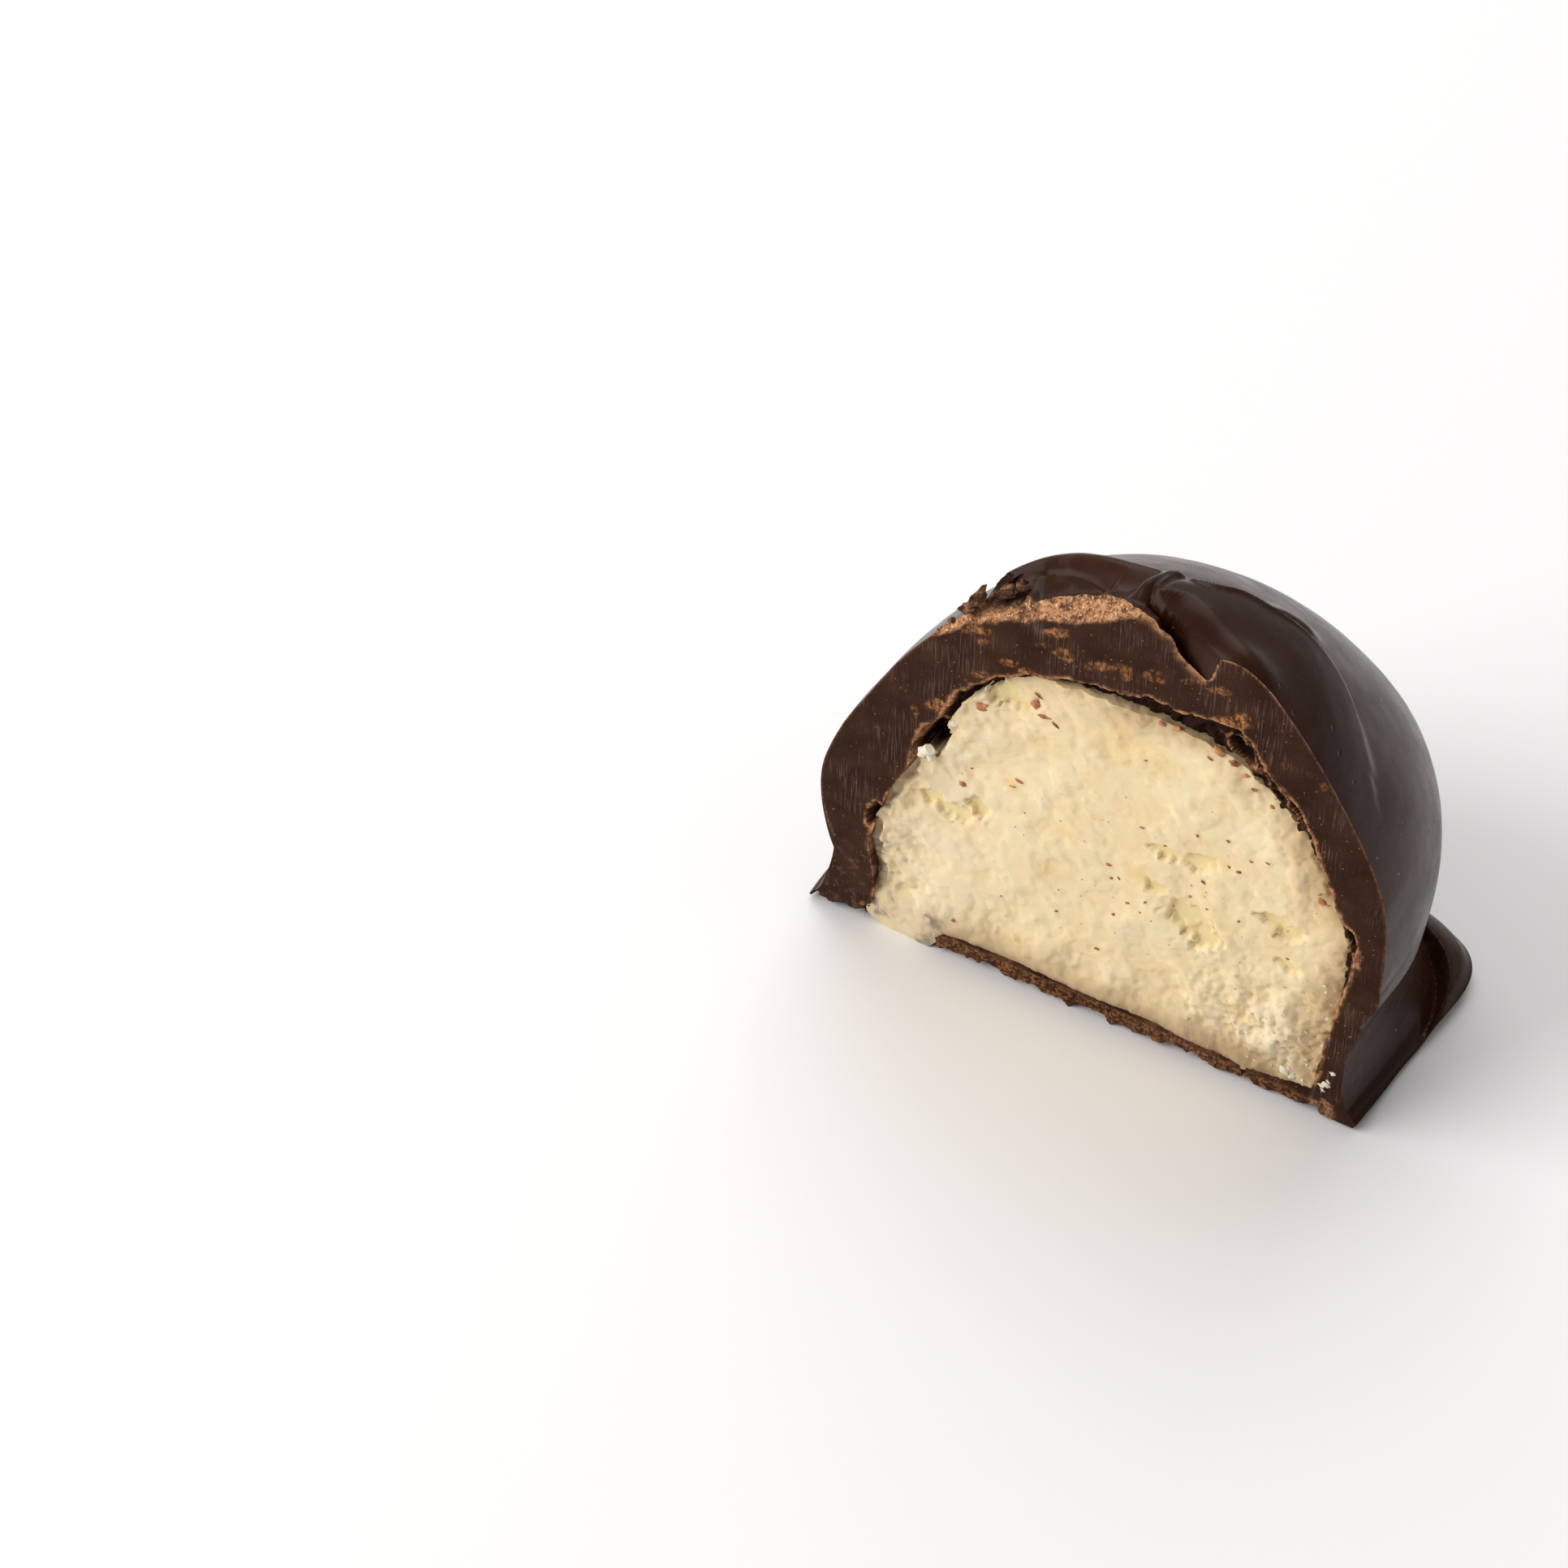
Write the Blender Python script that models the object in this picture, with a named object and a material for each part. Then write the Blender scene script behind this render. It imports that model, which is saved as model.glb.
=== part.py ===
"""Half of a hand-dipped filled chocolate: a dark shell cut open over a crumbly cream centre.

The model is in metres with +Z up. While it is shaped, sizes are in millimetres and the origin is the
middle of the cut's line on the table: +X runs along the cut and +Y goes back into the chocolate.
"""
import math
from collections import namedtuple

import bmesh
import bpy
import numpy as np
from mathutils import noise

# Driving dimensions, in millimetres
SHELL_WIDTH = 28.6
SHELL_HEIGHT = 25.75
FILLING_WIDTH = 24.2
FILLING_HEIGHT = 20.55
BASE_THICKNESS = 1.25
FOOT_WIDTH = 29.6
FOOT_DEPTH = 31.8
NECK_HEIGHT = 4.3
GAP = 0.3
MM = 0.001

# A swelling or dent of a heap: where round it in degrees, how far it spreads, its height and how tall
Swell = namedtuple("Swell", "turn spread height tall amount")

# A rounded heap: its widest ring and top, how it closes over, how much its foot tucks in, how far its
# rings lean along the cut at the bottom and at the top, and its one swelling
Heap = namedtuple("Heap", "radius widest top closing blunt tuck lean_low lean_high swell")
COAT = Heap(SHELL_WIDTH / 2, 9.0, SHELL_HEIGHT, 1.60, 0.53, 0.28, 0.10, 1.28,
            Swell(42.0, 30.0, 12.0, 7.0, 0.5))
CREAM = Heap(FILLING_WIDTH / 2, 6.5, FILLING_HEIGHT, 1.60, 0.38, 0.06, 0.45, 1.80,
             Swell(172.0, 30.0, 14.6, 3.8, -0.7))
DEPTH_RATIO = 1.12
MIDDLE_BACK = 1.6
TIP_FORWARD = 3.2
LEAN_START = 6.5
LEAN_RUN = 11.0

# Folds of chocolate on the coat: plan points of the crest seen from above, height, width toward the cut
# and away from it, and how much of each end tapers
Fold = namedtuple("Fold", "plan height near far ends", defaults=(0.12,))
ROPE = Fold([(-6.2, -0.5), (-5.4, 1.2), (-4.9, 2.3), (-3.5, 3.1), (-1.9, 3.15), (-0.3, 3.0), (1.2, 3.3)],
            0.80, 0.85, 0.9)
STRAND = Fold([(1.4, 3.7), (1.0, 2.6), (0.7, 1.1)], 0.70, 0.5, 0.5)
TORN_MASS = Fold([(-2.2, -0.3), (0.6, -0.2), (2.4, -0.3)], 0.45, 1.3, 1.3)
SIDE_FOLD = Fold([(4.2, 6.4), (5.6, 7.1), (7.2, 7.0)], 0.25, 0.6, 0.6, 0.4)
HOLLOW = Fold([(-4.3, 1.2), (-2.6, 1.7), (-0.7, 1.5)], -0.45, 0.9, 0.9)

# The lobe of chocolate that lapped over the right side, between its own crest and the crease
LOBE_CREST = [(1.4, 3.6), (2.9, 3.9), (4.5, 4.8), (6.8, 5.3), (8.3, 5.2), (9.9, 4.3), (11.4, 3.1)]
CREASE = [(0.2, 1.9), (1.3, 0.9), (3.0, 0.4), (4.75, 0.0), (6.4, -0.8)]
LOBE_HEIGHT = 1.0
LOBE_EDGE = 0.7
LOBE_FADE_START = 3.5
LOBE_FADE_RUN = 9.0
CREASE_WIDTH = 0.45
CREASE_DEPTH = 0.4
CREASE_DEEPENS = 0.9
MELD = 4

# The foot: a corner and a small tail that ran out of its oval, its rounded lip and its edge
Spill = namedtuple("Spill", "turn spread reach lip_spread lip")
CORNER = Spill(34.0, 15.5, 2.7, 36.0, 1.1)
TAIL = Spill(128.0, 9.0, 1.9, 14.0, 0.7)
FOOT_RIPPLE = 0.25
FOOT_SPREAD = 1.3
FOOT_EDGE = 0.55
LIP_PLACE = 0.68
LIP_WIDTH = 0.24
EDGE_ROUNDING = 0.3

# The cut: a broken edge under the rope, a chipped base and a corner of the base that is missing
TORN_START = -5.6
TORN_END = 2.2
TORN_HEIGHT = 23.05
TORN_SLOPE = 0.34
TORN_BAND = 1.3
CHIPPING = 0.35
CHIP_LEFT = -11.85
CHIP_RIGHT = -7.65
CHIP_BACK = 2.1
CUT_WIDTH = 44.0
CUT_HEIGHT = 34.0
CUT_BOTTOM = -1.5
CUT_REACH = 24.0

# Hollows in the broken cream: place along the cut and up it, half width, half height and depth
Pit = namedtuple("Pit", "x z width height depth")
CREAM_PITS = [Pit(-7.2, 9.5, 1.6, 0.7, 0.7), Pit(4.5, 12.1, 1.5, 0.6, 0.6), Pit(5.0, 8.1, 1.4, 1.1, 0.8),
              Pit(-8.5, 13.3, 0.9, 0.9, 0.9), Pit(10.0, 5.0, 1.8, 1.4, 0.5), Pit(-4.3, 16.8, 1.5, 0.7, 0.4)]
BREAK_DEPTH = 0.35
CRUMB_SIZE = 2.4
CRUMB_HEIGHT = 0.30
GRAIN_SIZE = 0.9
GRAIN_HEIGHT = 0.18

# Faces round each heap and down it: the coat has more of them before it is thinned out
COAT_SEGMENTS = 160
COAT_FOLD_ROWS = 56
COAT_DOME_ROWS = 92
COAT_FOOT_ROWS = 12
COAT_UNDER_ROWS = 4
COAT_KEPT = 0.36
FOLD_REACH = 11.5
CREAM_SEGMENTS = 52
CREAM_DOME_ROWS = 22
CREAM_UNDER_ROWS = 8
KNIFE_STEP = 0.5
CRUMB_STEP = 0.72

# Colours read from the photograph, as linear RGB
DARK_CHOCOLATE = (0.040, 0.022, 0.016)
CREAM_COLOUR = (0.80, 0.70, 0.44)


def smooth_step(value):
    """Rises smoothly from 0 to 1 as the value does."""
    t = np.clip(value, 0.0, 1.0)
    return t * t * (3.0 - 2.0 * t)


def bump(value, middle, width):
    return np.exp(-((value - middle) / width) ** 2)


def ring_radius(heap, z):
    """Half the heap's width at a height."""
    above = np.clip((z - heap.widest) / (heap.top - heap.widest), 0.0, 1.0)
    below = np.clip((heap.widest - z) / heap.widest, 0.0, 1.0)
    domed = heap.radius * (1.0 - above ** heap.closing) ** heap.blunt
    tucked = heap.radius * (1.0 - heap.tuck * below ** 2)
    return np.where(z >= heap.widest, domed, tucked)


def ring_middle(heap, z):
    """Middle of the ring at a height: it leans to the right and forward as it rises."""
    lean = heap.lean_low + (heap.lean_high - heap.lean_low) * smooth_step((z - LEAN_START) / LEAN_RUN)
    return lean, MIDDLE_BACK - TIP_FORWARD * (z / COAT.top) ** 2


def on_dome(heap, azimuth, z):
    """The heap's smooth surface at an angle and a height."""
    swell = heap.swell
    away = (np.degrees(azimuth) - swell.turn + 180.0) % 360.0 - 180.0
    swollen = swell.amount * bump(away, 0.0, swell.spread) * bump(z, swell.height, swell.tall)
    radius = ring_radius(heap, z) + swollen
    middle_x, middle_y = ring_middle(heap, z)
    x = middle_x + radius * np.cos(azimuth)
    y = middle_y + radius * DEPTH_RATIO * np.sin(azimuth)
    return np.stack([x, y, z + np.zeros_like(azimuth)], axis=-1)


def outward(heap, azimuth, z):
    """Unit normals of the dome, from two small steps along it."""
    step = 0.01
    around = on_dome(heap, azimuth + step, z) - on_dome(heap, azimuth - step, z)
    low = on_dome(heap, azimuth, np.maximum(z - step, 0.0))
    up = on_dome(heap, azimuth, np.minimum(z + step, heap.top - 1e-4)) - low
    normal = np.cross(around, up)
    length = np.linalg.norm(normal, axis=-1, keepdims=True)
    at_tip = length[:, 0] < 1e-9
    normal = normal / np.maximum(length, 1e-9)
    normal[at_tip] = (0.0, 0.0, 1.0)
    return normal


def dome_heights(heap, bottom, rows, fold_rows=0):
    """Heights of the rings from the top down, even along the surface but closer among the folds."""
    turn = np.linspace(0.0, 1.0, 2000)
    z = bottom + (heap.top - bottom) * np.cos(turn * math.pi / 2)
    radius = ring_radius(heap, z)
    run = np.concatenate([[0.0], np.cumsum(np.hypot(np.diff(radius), np.diff(z)))])
    if fold_rows:
        folded = np.linspace(0.0, FOLD_REACH, fold_rows + 1)[:-1]
        places = np.concatenate([folded, np.linspace(FOLD_REACH, run[-1], rows - fold_rows + 1)])
    else:
        places = np.linspace(0.0, run[-1], rows + 1)
    return np.interp(places, run, z)


def laid_on_coat(plan, count=24):
    """A smooth path through plan points, dropped onto the coat's dome."""
    plan = np.array(plan)
    ends = np.vstack([2 * plan[0] - plan[1], plan, 2 * plan[-1] - plan[-2]])
    path = []
    for place in np.linspace(0.0, len(plan) - 1.001, count):
        i, t = int(place), place % 1.0
        a, b, c, d = ends[i:i + 4]
        path.append(0.5 * (2 * b + (c - a) * t + (2 * a - 5 * b + 4 * c - d) * t ** 2
                           + (3 * b - a - 3 * c + d) * t ** 3))
    path = np.array(path)
    low = np.full(count, COAT.widest)
    high = np.full(count, COAT.top)
    for _ in range(40):
        z = (low + high) / 2
        middle_x, middle_y = ring_middle(COAT, z)
        reach = np.hypot(path[:, 0] - middle_x, (path[:, 1] - middle_y) / DEPTH_RATIO)
        inside = reach < ring_radius(COAT, z)
        low = np.where(inside, z, low)
        high = np.where(inside, high, z)
    return np.column_stack([path, (low + high) / 2])


def beside(points, path):
    """Distance to a path and how far along it the nearest place is."""
    nearest = np.full(len(points), 1e9)
    along = np.zeros(len(points))
    pieces = len(path) - 1
    for i in range(pieces):
        start, span = path[i], path[i + 1] - path[i]
        t = np.clip((points - start) @ span / (span @ span), 0.0, 1.0)
        distance = np.linalg.norm(points - start - t[:, None] * span, axis=1)
        closer = distance < nearest
        nearest = np.where(closer, distance, nearest)
        along = np.where(closer, (i + t) / pieces, along)
    return nearest, along


def behind(points, path):
    """True where a point lies farther from the cut than a path that runs along the cut."""
    first = path[0] - 10.0 * (path[1] - path[0])
    last = path[-1] + 10.0 * (path[-1] - path[-2])
    line = np.vstack([first, path, last])
    return points[:, 1] > np.interp(points[:, 0], line[:, 0], line[:, 1])


def fold_height(points, fold):
    """Height of one fold, whose side toward the cut and far side may spread by different widths."""
    path = laid_on_coat(fold.plan)
    distance, along = beside(points, path)
    width = fold.near
    if fold.far != fold.near:
        width = np.where(behind(points, path), fold.far, fold.near)
    taper = smooth_step((along + 0.02) / fold.ends) * smooth_step((1.02 - along) / fold.ends)
    return fold.height * bump(distance, 0.0, width) * taper


def coat_relief(points):
    """How far the hand-made folds stand off the plain dome: the tallest one counts where they meet."""
    crease, crest = laid_on_coat(CREASE), laid_on_coat(LOBE_CREST)
    from_crease, along_crease = beside(points, crease)
    right_of_crease = smooth_step(np.where(behind(points, crease), from_crease, 0.0) / LOBE_EDGE)
    from_crest, _ = beside(points, crest)
    lobe = LOBE_HEIGHT * np.where(behind(points, crest), bump(from_crest, 0.0, LOBE_EDGE), 1.0)
    lobe *= right_of_crease * (1.0 - smooth_step((points[:, 0] - LOBE_FADE_START) / LOBE_FADE_RUN))
    heights = [lobe] + [fold_height(points, fold) for fold in (ROPE, STRAND, TORN_MASS, SIDE_FOLD)]
    raised = sum(height ** MELD for height in heights) ** (1.0 / MELD)
    depth = CREASE_DEPTH + CREASE_DEEPENS * smooth_step(along_crease)
    return raised + fold_height(points, HOLLOW) - depth * bump(from_crease, 0.0, CREASE_WIDTH)


def foot_reach(angle):
    """Distance from the middle to the foot's edge: an oval with a corner and a small tail."""
    side, back = FOOT_WIDTH / 2, FOOT_DEPTH / 2
    reach = side * back / np.hypot(back * np.cos(angle), side * np.sin(angle))
    for spill in (CORNER, TAIL):
        reach = reach + spill.reach * bump(np.degrees(angle), spill.turn, spill.spread)
    away_from_cut = smooth_step((1.45 - np.abs(angle - math.pi / 2)) / 0.3)
    return reach + FOOT_RIPPLE * np.sin(5.0 * angle + 0.6) * away_from_cut


def foot_lip(angle):
    """Height of the rounded lip where the corner and the tail end."""
    return sum(spill.lip * bump(np.degrees(angle), spill.turn, spill.lip_spread) for spill in (CORNER, TAIL))


def foot_shape(azimuth, row):
    """The foot flares out from the neck, dips and ends in a low rounded lip over a flat underside."""
    plan_x, plan_y = np.cos(azimuth), DEPTH_RATIO * np.sin(azimuth)
    angle = np.arctan2(plan_y, plan_x)
    angle = np.where(angle < -math.pi / 2, angle + 2 * math.pi, angle)
    neck = ring_radius(COAT, np.array(NECK_HEIGHT)) * np.hypot(plan_x, plan_y)
    reach = foot_reach(angle)
    out = np.clip((row - COAT_DOME_ROWS) / COAT_FOOT_ROWS, 0.0, 1.0)
    distance = neck + (reach - neck) * out ** FOOT_SPREAD
    height = FOOT_EDGE + (NECK_HEIGHT - FOOT_EDGE) * (1.0 - out) ** 3
    height += foot_lip(angle) * bump(out, LIP_PLACE, LIP_WIDTH)
    height -= EDGE_ROUNDING * smooth_step((out - 0.85) / 0.15)

    below = row - COAT_DOME_ROWS - COAT_FOOT_ROWS
    inward = np.clip((below - 1) / (COAT_UNDER_ROWS - 1), 0.0, 1.0)
    distance = np.where(below > 0, (reach - EDGE_ROUNDING) * (1.0 - inward), distance)
    height = np.where(below > 0, 0.0, height)
    middle_x, middle_y = ring_middle(COAT, np.array(NECK_HEIGHT))
    return np.stack([middle_x + distance * np.cos(angle), middle_y + distance * np.sin(angle), height], -1)


def coat_shape(azimuth, row):
    """Outer surface of the whole chocolate, by row from the top."""
    heights = dome_heights(COAT, NECK_HEIGHT, COAT_DOME_ROWS, COAT_FOLD_ROWS)
    z = heights[np.clip(row, 0, COAT_DOME_ROWS)]
    dome = on_dome(COAT, azimuth, z)
    dome += outward(COAT, azimuth, z) * coat_relief(dome)[:, None]
    return np.where((row > COAT_DOME_ROWS)[:, None], foot_shape(azimuth, row), dome)


def chip_share(x, y):
    """1 where the base is missing and the cream reaches the table, 0 elsewhere."""
    left = smooth_step((x - CHIP_LEFT) / 0.9 + 0.5)
    right = smooth_step((CHIP_RIGHT - x) / 0.9 + 0.5)
    return left * right * smooth_step((CHIP_BACK - y) / 2.2 + 0.5)


def cream_shape(azimuth, row, grown=0.0):
    """Surface of the whole cream centre, or the same grown outward for the shell's hollow."""
    bottom = BASE_THICKNESS + GAP
    corner = 0.6
    heights = dome_heights(CREAM, bottom + corner, CREAM_DOME_ROWS)
    z = heights[np.clip(row, 0, CREAM_DOME_ROWS)]
    points = on_dome(CREAM, azimuth, z) + outward(CREAM, azimuth, z) * grown

    # The floor runs in from the lowest ring, round its corner, to the middle
    under = np.clip((row - CREAM_DOME_ROWS) / CREAM_UNDER_ROWS, 0.0, 1.0)
    middle = np.array([*ring_middle(CREAM, np.array(bottom)), 0.0])
    low_ring = on_dome(CREAM, azimuth, np.full(len(azimuth), bottom + corner))
    spread = (1.0 - under ** 1.4)[:, None] * (1.0 + grown / CREAM.radius)
    floor = middle + (low_ring - middle) * spread
    floor[:, 2] = bottom + corner * (1.0 - smooth_step(under / 0.3)) - grown
    points = np.where((under > 0.0)[:, None], floor, points)

    # At the missing corner of the base the cream sags almost to the table
    sink = (bottom - 0.04) * chip_share(points[:, 0], points[:, 1])
    points[:, 2] -= sink * (1.0 - smooth_step((points[:, 2] - bottom) / 2.5))
    return points


def knife_face(x, z):
    """How far behind the plane of the cut the chocolate's face lies."""
    torn_part = smooth_step((x - TORN_START) / 1.0 + 1.0) * smooth_step((TORN_END - x) / 2.0 + 0.5)
    line = TORN_HEIGHT + TORN_SLOPE * (x - TORN_START) + CUT_HEIGHT * (1.0 - torn_part)
    torn = np.clip(z - line, 0.0, TORN_BAND)
    chipped = CHIPPING * smooth_step((BASE_THICKNESS - z) / 0.5) * (0.6 + 0.4 * np.sin(1.7 * x))
    return torn + chipped


def crumb_face(x, z):
    """How far behind the plane of the cut the cream's broken face lies."""
    crumbs = [noise.noise((a / CRUMB_SIZE, 1.7, b / CRUMB_SIZE)) for a, b in zip(x, z)]
    grains = [noise.noise((a / GRAIN_SIZE, 7.3, b / GRAIN_SIZE)) for a, b in zip(x, z)]
    face = BREAK_DEPTH + CRUMB_HEIGHT * np.array(crumbs) + GRAIN_HEIGHT * np.array(grains)
    for pit in CREAM_PITS:
        face += pit.depth * bump(x, pit.x, pit.width) * bump(z, pit.z, pit.height)
    return np.maximum(face, 0.02)


def moulded(name, shape, segments, rows, collection):
    """A ball primitive whose rings are pushed out to the given shape."""
    mesh = bpy.data.meshes.new(name)
    ball = bmesh.new()
    bmesh.ops.create_uvsphere(ball, u_segments=segments, v_segments=rows, radius=1.0)
    ball.to_mesh(mesh)
    ball.free()
    unit = np.empty(len(mesh.vertices) * 3)
    mesh.vertices.foreach_get("co", unit)
    unit = unit.reshape(-1, 3)
    azimuth = np.arctan2(unit[:, 1], unit[:, 0])
    row = np.rint(np.arccos(np.clip(unit[:, 2], -1.0, 1.0)) / math.pi * rows).astype(int)
    mesh.vertices.foreach_set("co", (shape(azimuth, row) * MM).ravel())
    mesh.update()
    piece = bpy.data.objects.new(name, mesh)
    collection.objects.link(piece)
    return piece


def front_block(name, face, step, collection):
    """A block in front of the chocolate whose back is the cut's own uneven face."""
    block = bmesh.new()
    columns, levels = round(CUT_WIDTH / step), round(CUT_HEIGHT / step)
    bmesh.ops.create_grid(block, x_segments=columns, y_segments=levels, size=0.5)
    sheet = list(block.verts)
    extruded = bmesh.ops.extrude_face_region(block, geom=list(block.faces), use_keep_orig=True)
    front = [made for made in extruded["geom"] if isinstance(made, bmesh.types.BMVert)]
    for vertex in sheet + front:
        vertex.co = (vertex.co.x * CUT_WIDTH, -CUT_REACH, (vertex.co.y + 0.5) * CUT_HEIGHT + CUT_BOTTOM)
    x = np.array([vertex.co.x for vertex in sheet])
    z = np.array([vertex.co.z for vertex in sheet])
    for vertex, depth in zip(sheet, face(x, z)):
        vertex.co.y = depth
    bmesh.ops.scale(block, vec=(MM, MM, MM), verts=list(block.verts))
    bmesh.ops.recalc_face_normals(block, faces=list(block.faces))
    mesh = bpy.data.meshes.new(name)
    block.to_mesh(mesh)
    block.free()
    cutter = bpy.data.objects.new(name, mesh)
    collection.objects.link(cutter)
    return cutter


def cut_away(piece, cutter):
    """Takes the cutter's shape out of the piece and leaves the cutter as a guide."""
    boolean = piece.modifiers.new("cut by " + cutter.name, "BOOLEAN")
    boolean.operation = "DIFFERENCE"
    boolean.object = cutter
    cutter.hide_render = True
    cutter.display_type = "WIRE"


def thin_out(piece, kept):
    """Leaves the faces where the surface bends and joins the rest into larger ones."""
    decimate = piece.modifiers.new("fewer faces", "DECIMATE")
    decimate.ratio = kept
    decimate.use_collapse_triangulate = True


def give_material(piece, name, colour, roughness):
    material = bpy.data.materials.new(name)
    material.use_nodes = True
    surface = material.node_tree.nodes["Principled BSDF"]
    surface.inputs["Base Color"].default_value = (*colour, 1.0)
    surface.inputs["Roughness"].default_value = roughness
    surface.inputs["Metallic"].default_value = 0.0
    piece.data.materials.append(material)


def clear_scene():
    for old in list(bpy.data.objects):
        bpy.data.objects.remove(old, do_unlink=True)


def new_collection(name):
    collection = bpy.data.collections.new(name)
    bpy.context.scene.collection.children.link(collection)
    return collection


def make_shell(parts, cutters):
    """The dipped coat with its foot and base, hollow where the cream was and cut in half."""
    rows = COAT_DOME_ROWS + COAT_FOOT_ROWS + COAT_UNDER_ROWS
    shell = moulded("chocolate_shell", coat_shape, COAT_SEGMENTS, rows, parts)
    hollow_rows = CREAM_DOME_ROWS + CREAM_UNDER_ROWS
    hollow = moulded("hollow", lambda a, r: cream_shape(a, r, GAP), CREAM_SEGMENTS, hollow_rows, cutters)
    thin_out(shell, COAT_KEPT)
    cut_away(shell, hollow)
    cut_away(shell, front_block("knife", knife_face, KNIFE_STEP, cutters))
    give_material(shell, "dark chocolate", DARK_CHOCOLATE, 0.38)
    return shell


def make_filling(parts, cutters):
    """The set cream, broken rather than cut across its front."""
    rows = CREAM_DOME_ROWS + CREAM_UNDER_ROWS
    filling = moulded("cream_filling", cream_shape, CREAM_SEGMENTS, rows, parts)
    cut_away(filling, front_block("broken face", crumb_face, CRUMB_STEP, cutters))
    give_material(filling, "cream", CREAM_COLOUR, 0.75)
    return filling


def centre_on_origin(pieces, movers):
    """Moves everything so that the chocolate's box stands on the origin."""
    bpy.context.view_layer.update()
    graph = bpy.context.evaluated_depsgraph_get()
    corners = []
    for piece in pieces:
        mesh = piece.evaluated_get(graph).to_mesh()
        places = np.empty(len(mesh.vertices) * 3)
        mesh.vertices.foreach_get("co", places)
        corners.append(places.reshape(-1, 3))
    places = np.vstack(corners)
    middle = (places.min(axis=0) + places.max(axis=0)) / 2
    for mover in movers:
        mover.location = (-middle[0], -middle[1], -places[:, 2].min())
    bpy.context.view_layer.update()


def main():
    clear_scene()
    parts = new_collection("filled_chocolate_half")
    cutters = new_collection("cutters")
    pieces = [make_shell(parts, cutters), make_filling(parts, cutters)]
    centre_on_origin(pieces, list(parts.objects) + list(cutters.objects))


main()
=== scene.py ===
import math
import random
from collections import namedtuple

import bmesh
import bpy
import numpy as np
from bpy.props import FloatProperty, FloatVectorProperty, IntProperty, PointerProperty
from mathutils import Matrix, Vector, noise


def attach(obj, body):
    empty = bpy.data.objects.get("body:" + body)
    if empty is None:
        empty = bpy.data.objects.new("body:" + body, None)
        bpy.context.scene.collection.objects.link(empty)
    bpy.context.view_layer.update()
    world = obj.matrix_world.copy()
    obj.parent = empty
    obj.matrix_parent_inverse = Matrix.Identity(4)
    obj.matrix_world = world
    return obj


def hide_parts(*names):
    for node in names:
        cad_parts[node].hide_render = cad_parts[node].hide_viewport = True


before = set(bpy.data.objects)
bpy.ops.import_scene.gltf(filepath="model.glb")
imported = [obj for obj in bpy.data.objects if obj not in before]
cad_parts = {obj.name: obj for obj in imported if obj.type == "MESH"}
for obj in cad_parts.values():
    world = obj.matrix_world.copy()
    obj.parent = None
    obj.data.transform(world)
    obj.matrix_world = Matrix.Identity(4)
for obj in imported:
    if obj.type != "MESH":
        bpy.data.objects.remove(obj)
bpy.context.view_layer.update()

bl_info = {
    "name": "Halved Filled Chocolate",
    "version": (1, 0, 0),
    "blender": (4, 5, 0),
    "location": "3D View > Sidebar > Chocolate",
    "description": "Makes a halved hand-dipped chocolate with its cream centre, crumbs and a small studio",
    "category": "Object",
}

MM = 0.001

# Middle of the cut's line on the table, in the frame of the solids
CUT_MIDDLE = Vector((-0.401, -8.815, 0.0)) * MM

# A swelling or dent of a heap: where round it in degrees, how far it spreads, its height and how tall
Swell = namedtuple("Swell", "turn spread height tall amount")

# A rounded heap: its widest ring and top, how it closes over, how much its foot tucks in, how far its
# rings lean along the cut at the bottom and at the top, and its one swelling
Heap = namedtuple("Heap", "radius widest top closing blunt tuck lean_low lean_high swell")
COAT_SWELL = Swell(42.0, 30.0, 12.0, 7.0, 0.5)
CREAM_SWELL = Swell(172.0, 30.0, 14.6, 3.8, -0.7)
DEPTH_RATIO = 1.12
MIDDLE_BACK = 1.6
TIP_FORWARD = 3.2
LEAN_START = 6.5
LEAN_RUN = 11.0
NECK_HEIGHT = 4.9
NECK_TILT = 0.85

# Near the cut on the right the neck rises farther, and the side stands out or in by height
NECK_RISE = 2.0
NECK_SPREAD = 3.2
WAIST_FULL_AT = 10.0
WAIST_ENDS_BACK = 8.0
WAIST = [(0.0, -0.38), (0.3, -0.48), (0.8, -0.76), (1.1, -0.80), (2.1, -0.71), (3.2, -0.69), (5.0, -0.47),
         (6.0, -0.08), (6.9, 0.26), (7.6, 0.48), (8.1, 0.40), (8.65, 0.08), (9.5, -0.19), (11.0, -0.19),
         (13.0, -0.15), (14.5, 0.0)]

# Folds of chocolate on the coat: plan points of the crest seen from above, height, width toward the cut
# and away from it, and how much of each end tapers
Fold = namedtuple("Fold", "plan height near far ends", defaults=(0.12,))
ROPE = Fold([(-5.7, 0.9), (-5.4, 2.2), (-4.5, 3.3), (-3.2, 3.5), (-1.8, 3.3), (-0.4, 3.05), (0.8, 3.1), (1.4, 3.4)],
            0.80, 0.85, 0.9)
HOOD = Fold([(1.75, 3.9), (1.4, 3.3), (1.1, 2.5), (0.92, 1.6), (1.0, 0.5)], 1.0, 0.55, 0.62, 0.30)
TORN_MASS = Fold([(-2.2, -0.3), (0.6, -0.2), (2.4, -0.3)], 0.45, 1.3, 1.3)
SIDE_FOLD = Fold([(4.2, 6.4), (5.6, 7.1), (7.2, 7.0)], 0.25, 0.6, 0.6, 0.4)
HOLLOW = Fold([(-4.3, 1.2), (-2.6, 1.7), (-0.7, 1.5)], -0.45, 0.9, 0.9)
LEAF_EDGE = [(-4.75, 2.0), (-4.1, 2.45), (-3.3, 2.5), (-2.3, 2.3), (-1.45, 1.95), (-0.85, 1.6), (-0.45, 1.1)]

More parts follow.
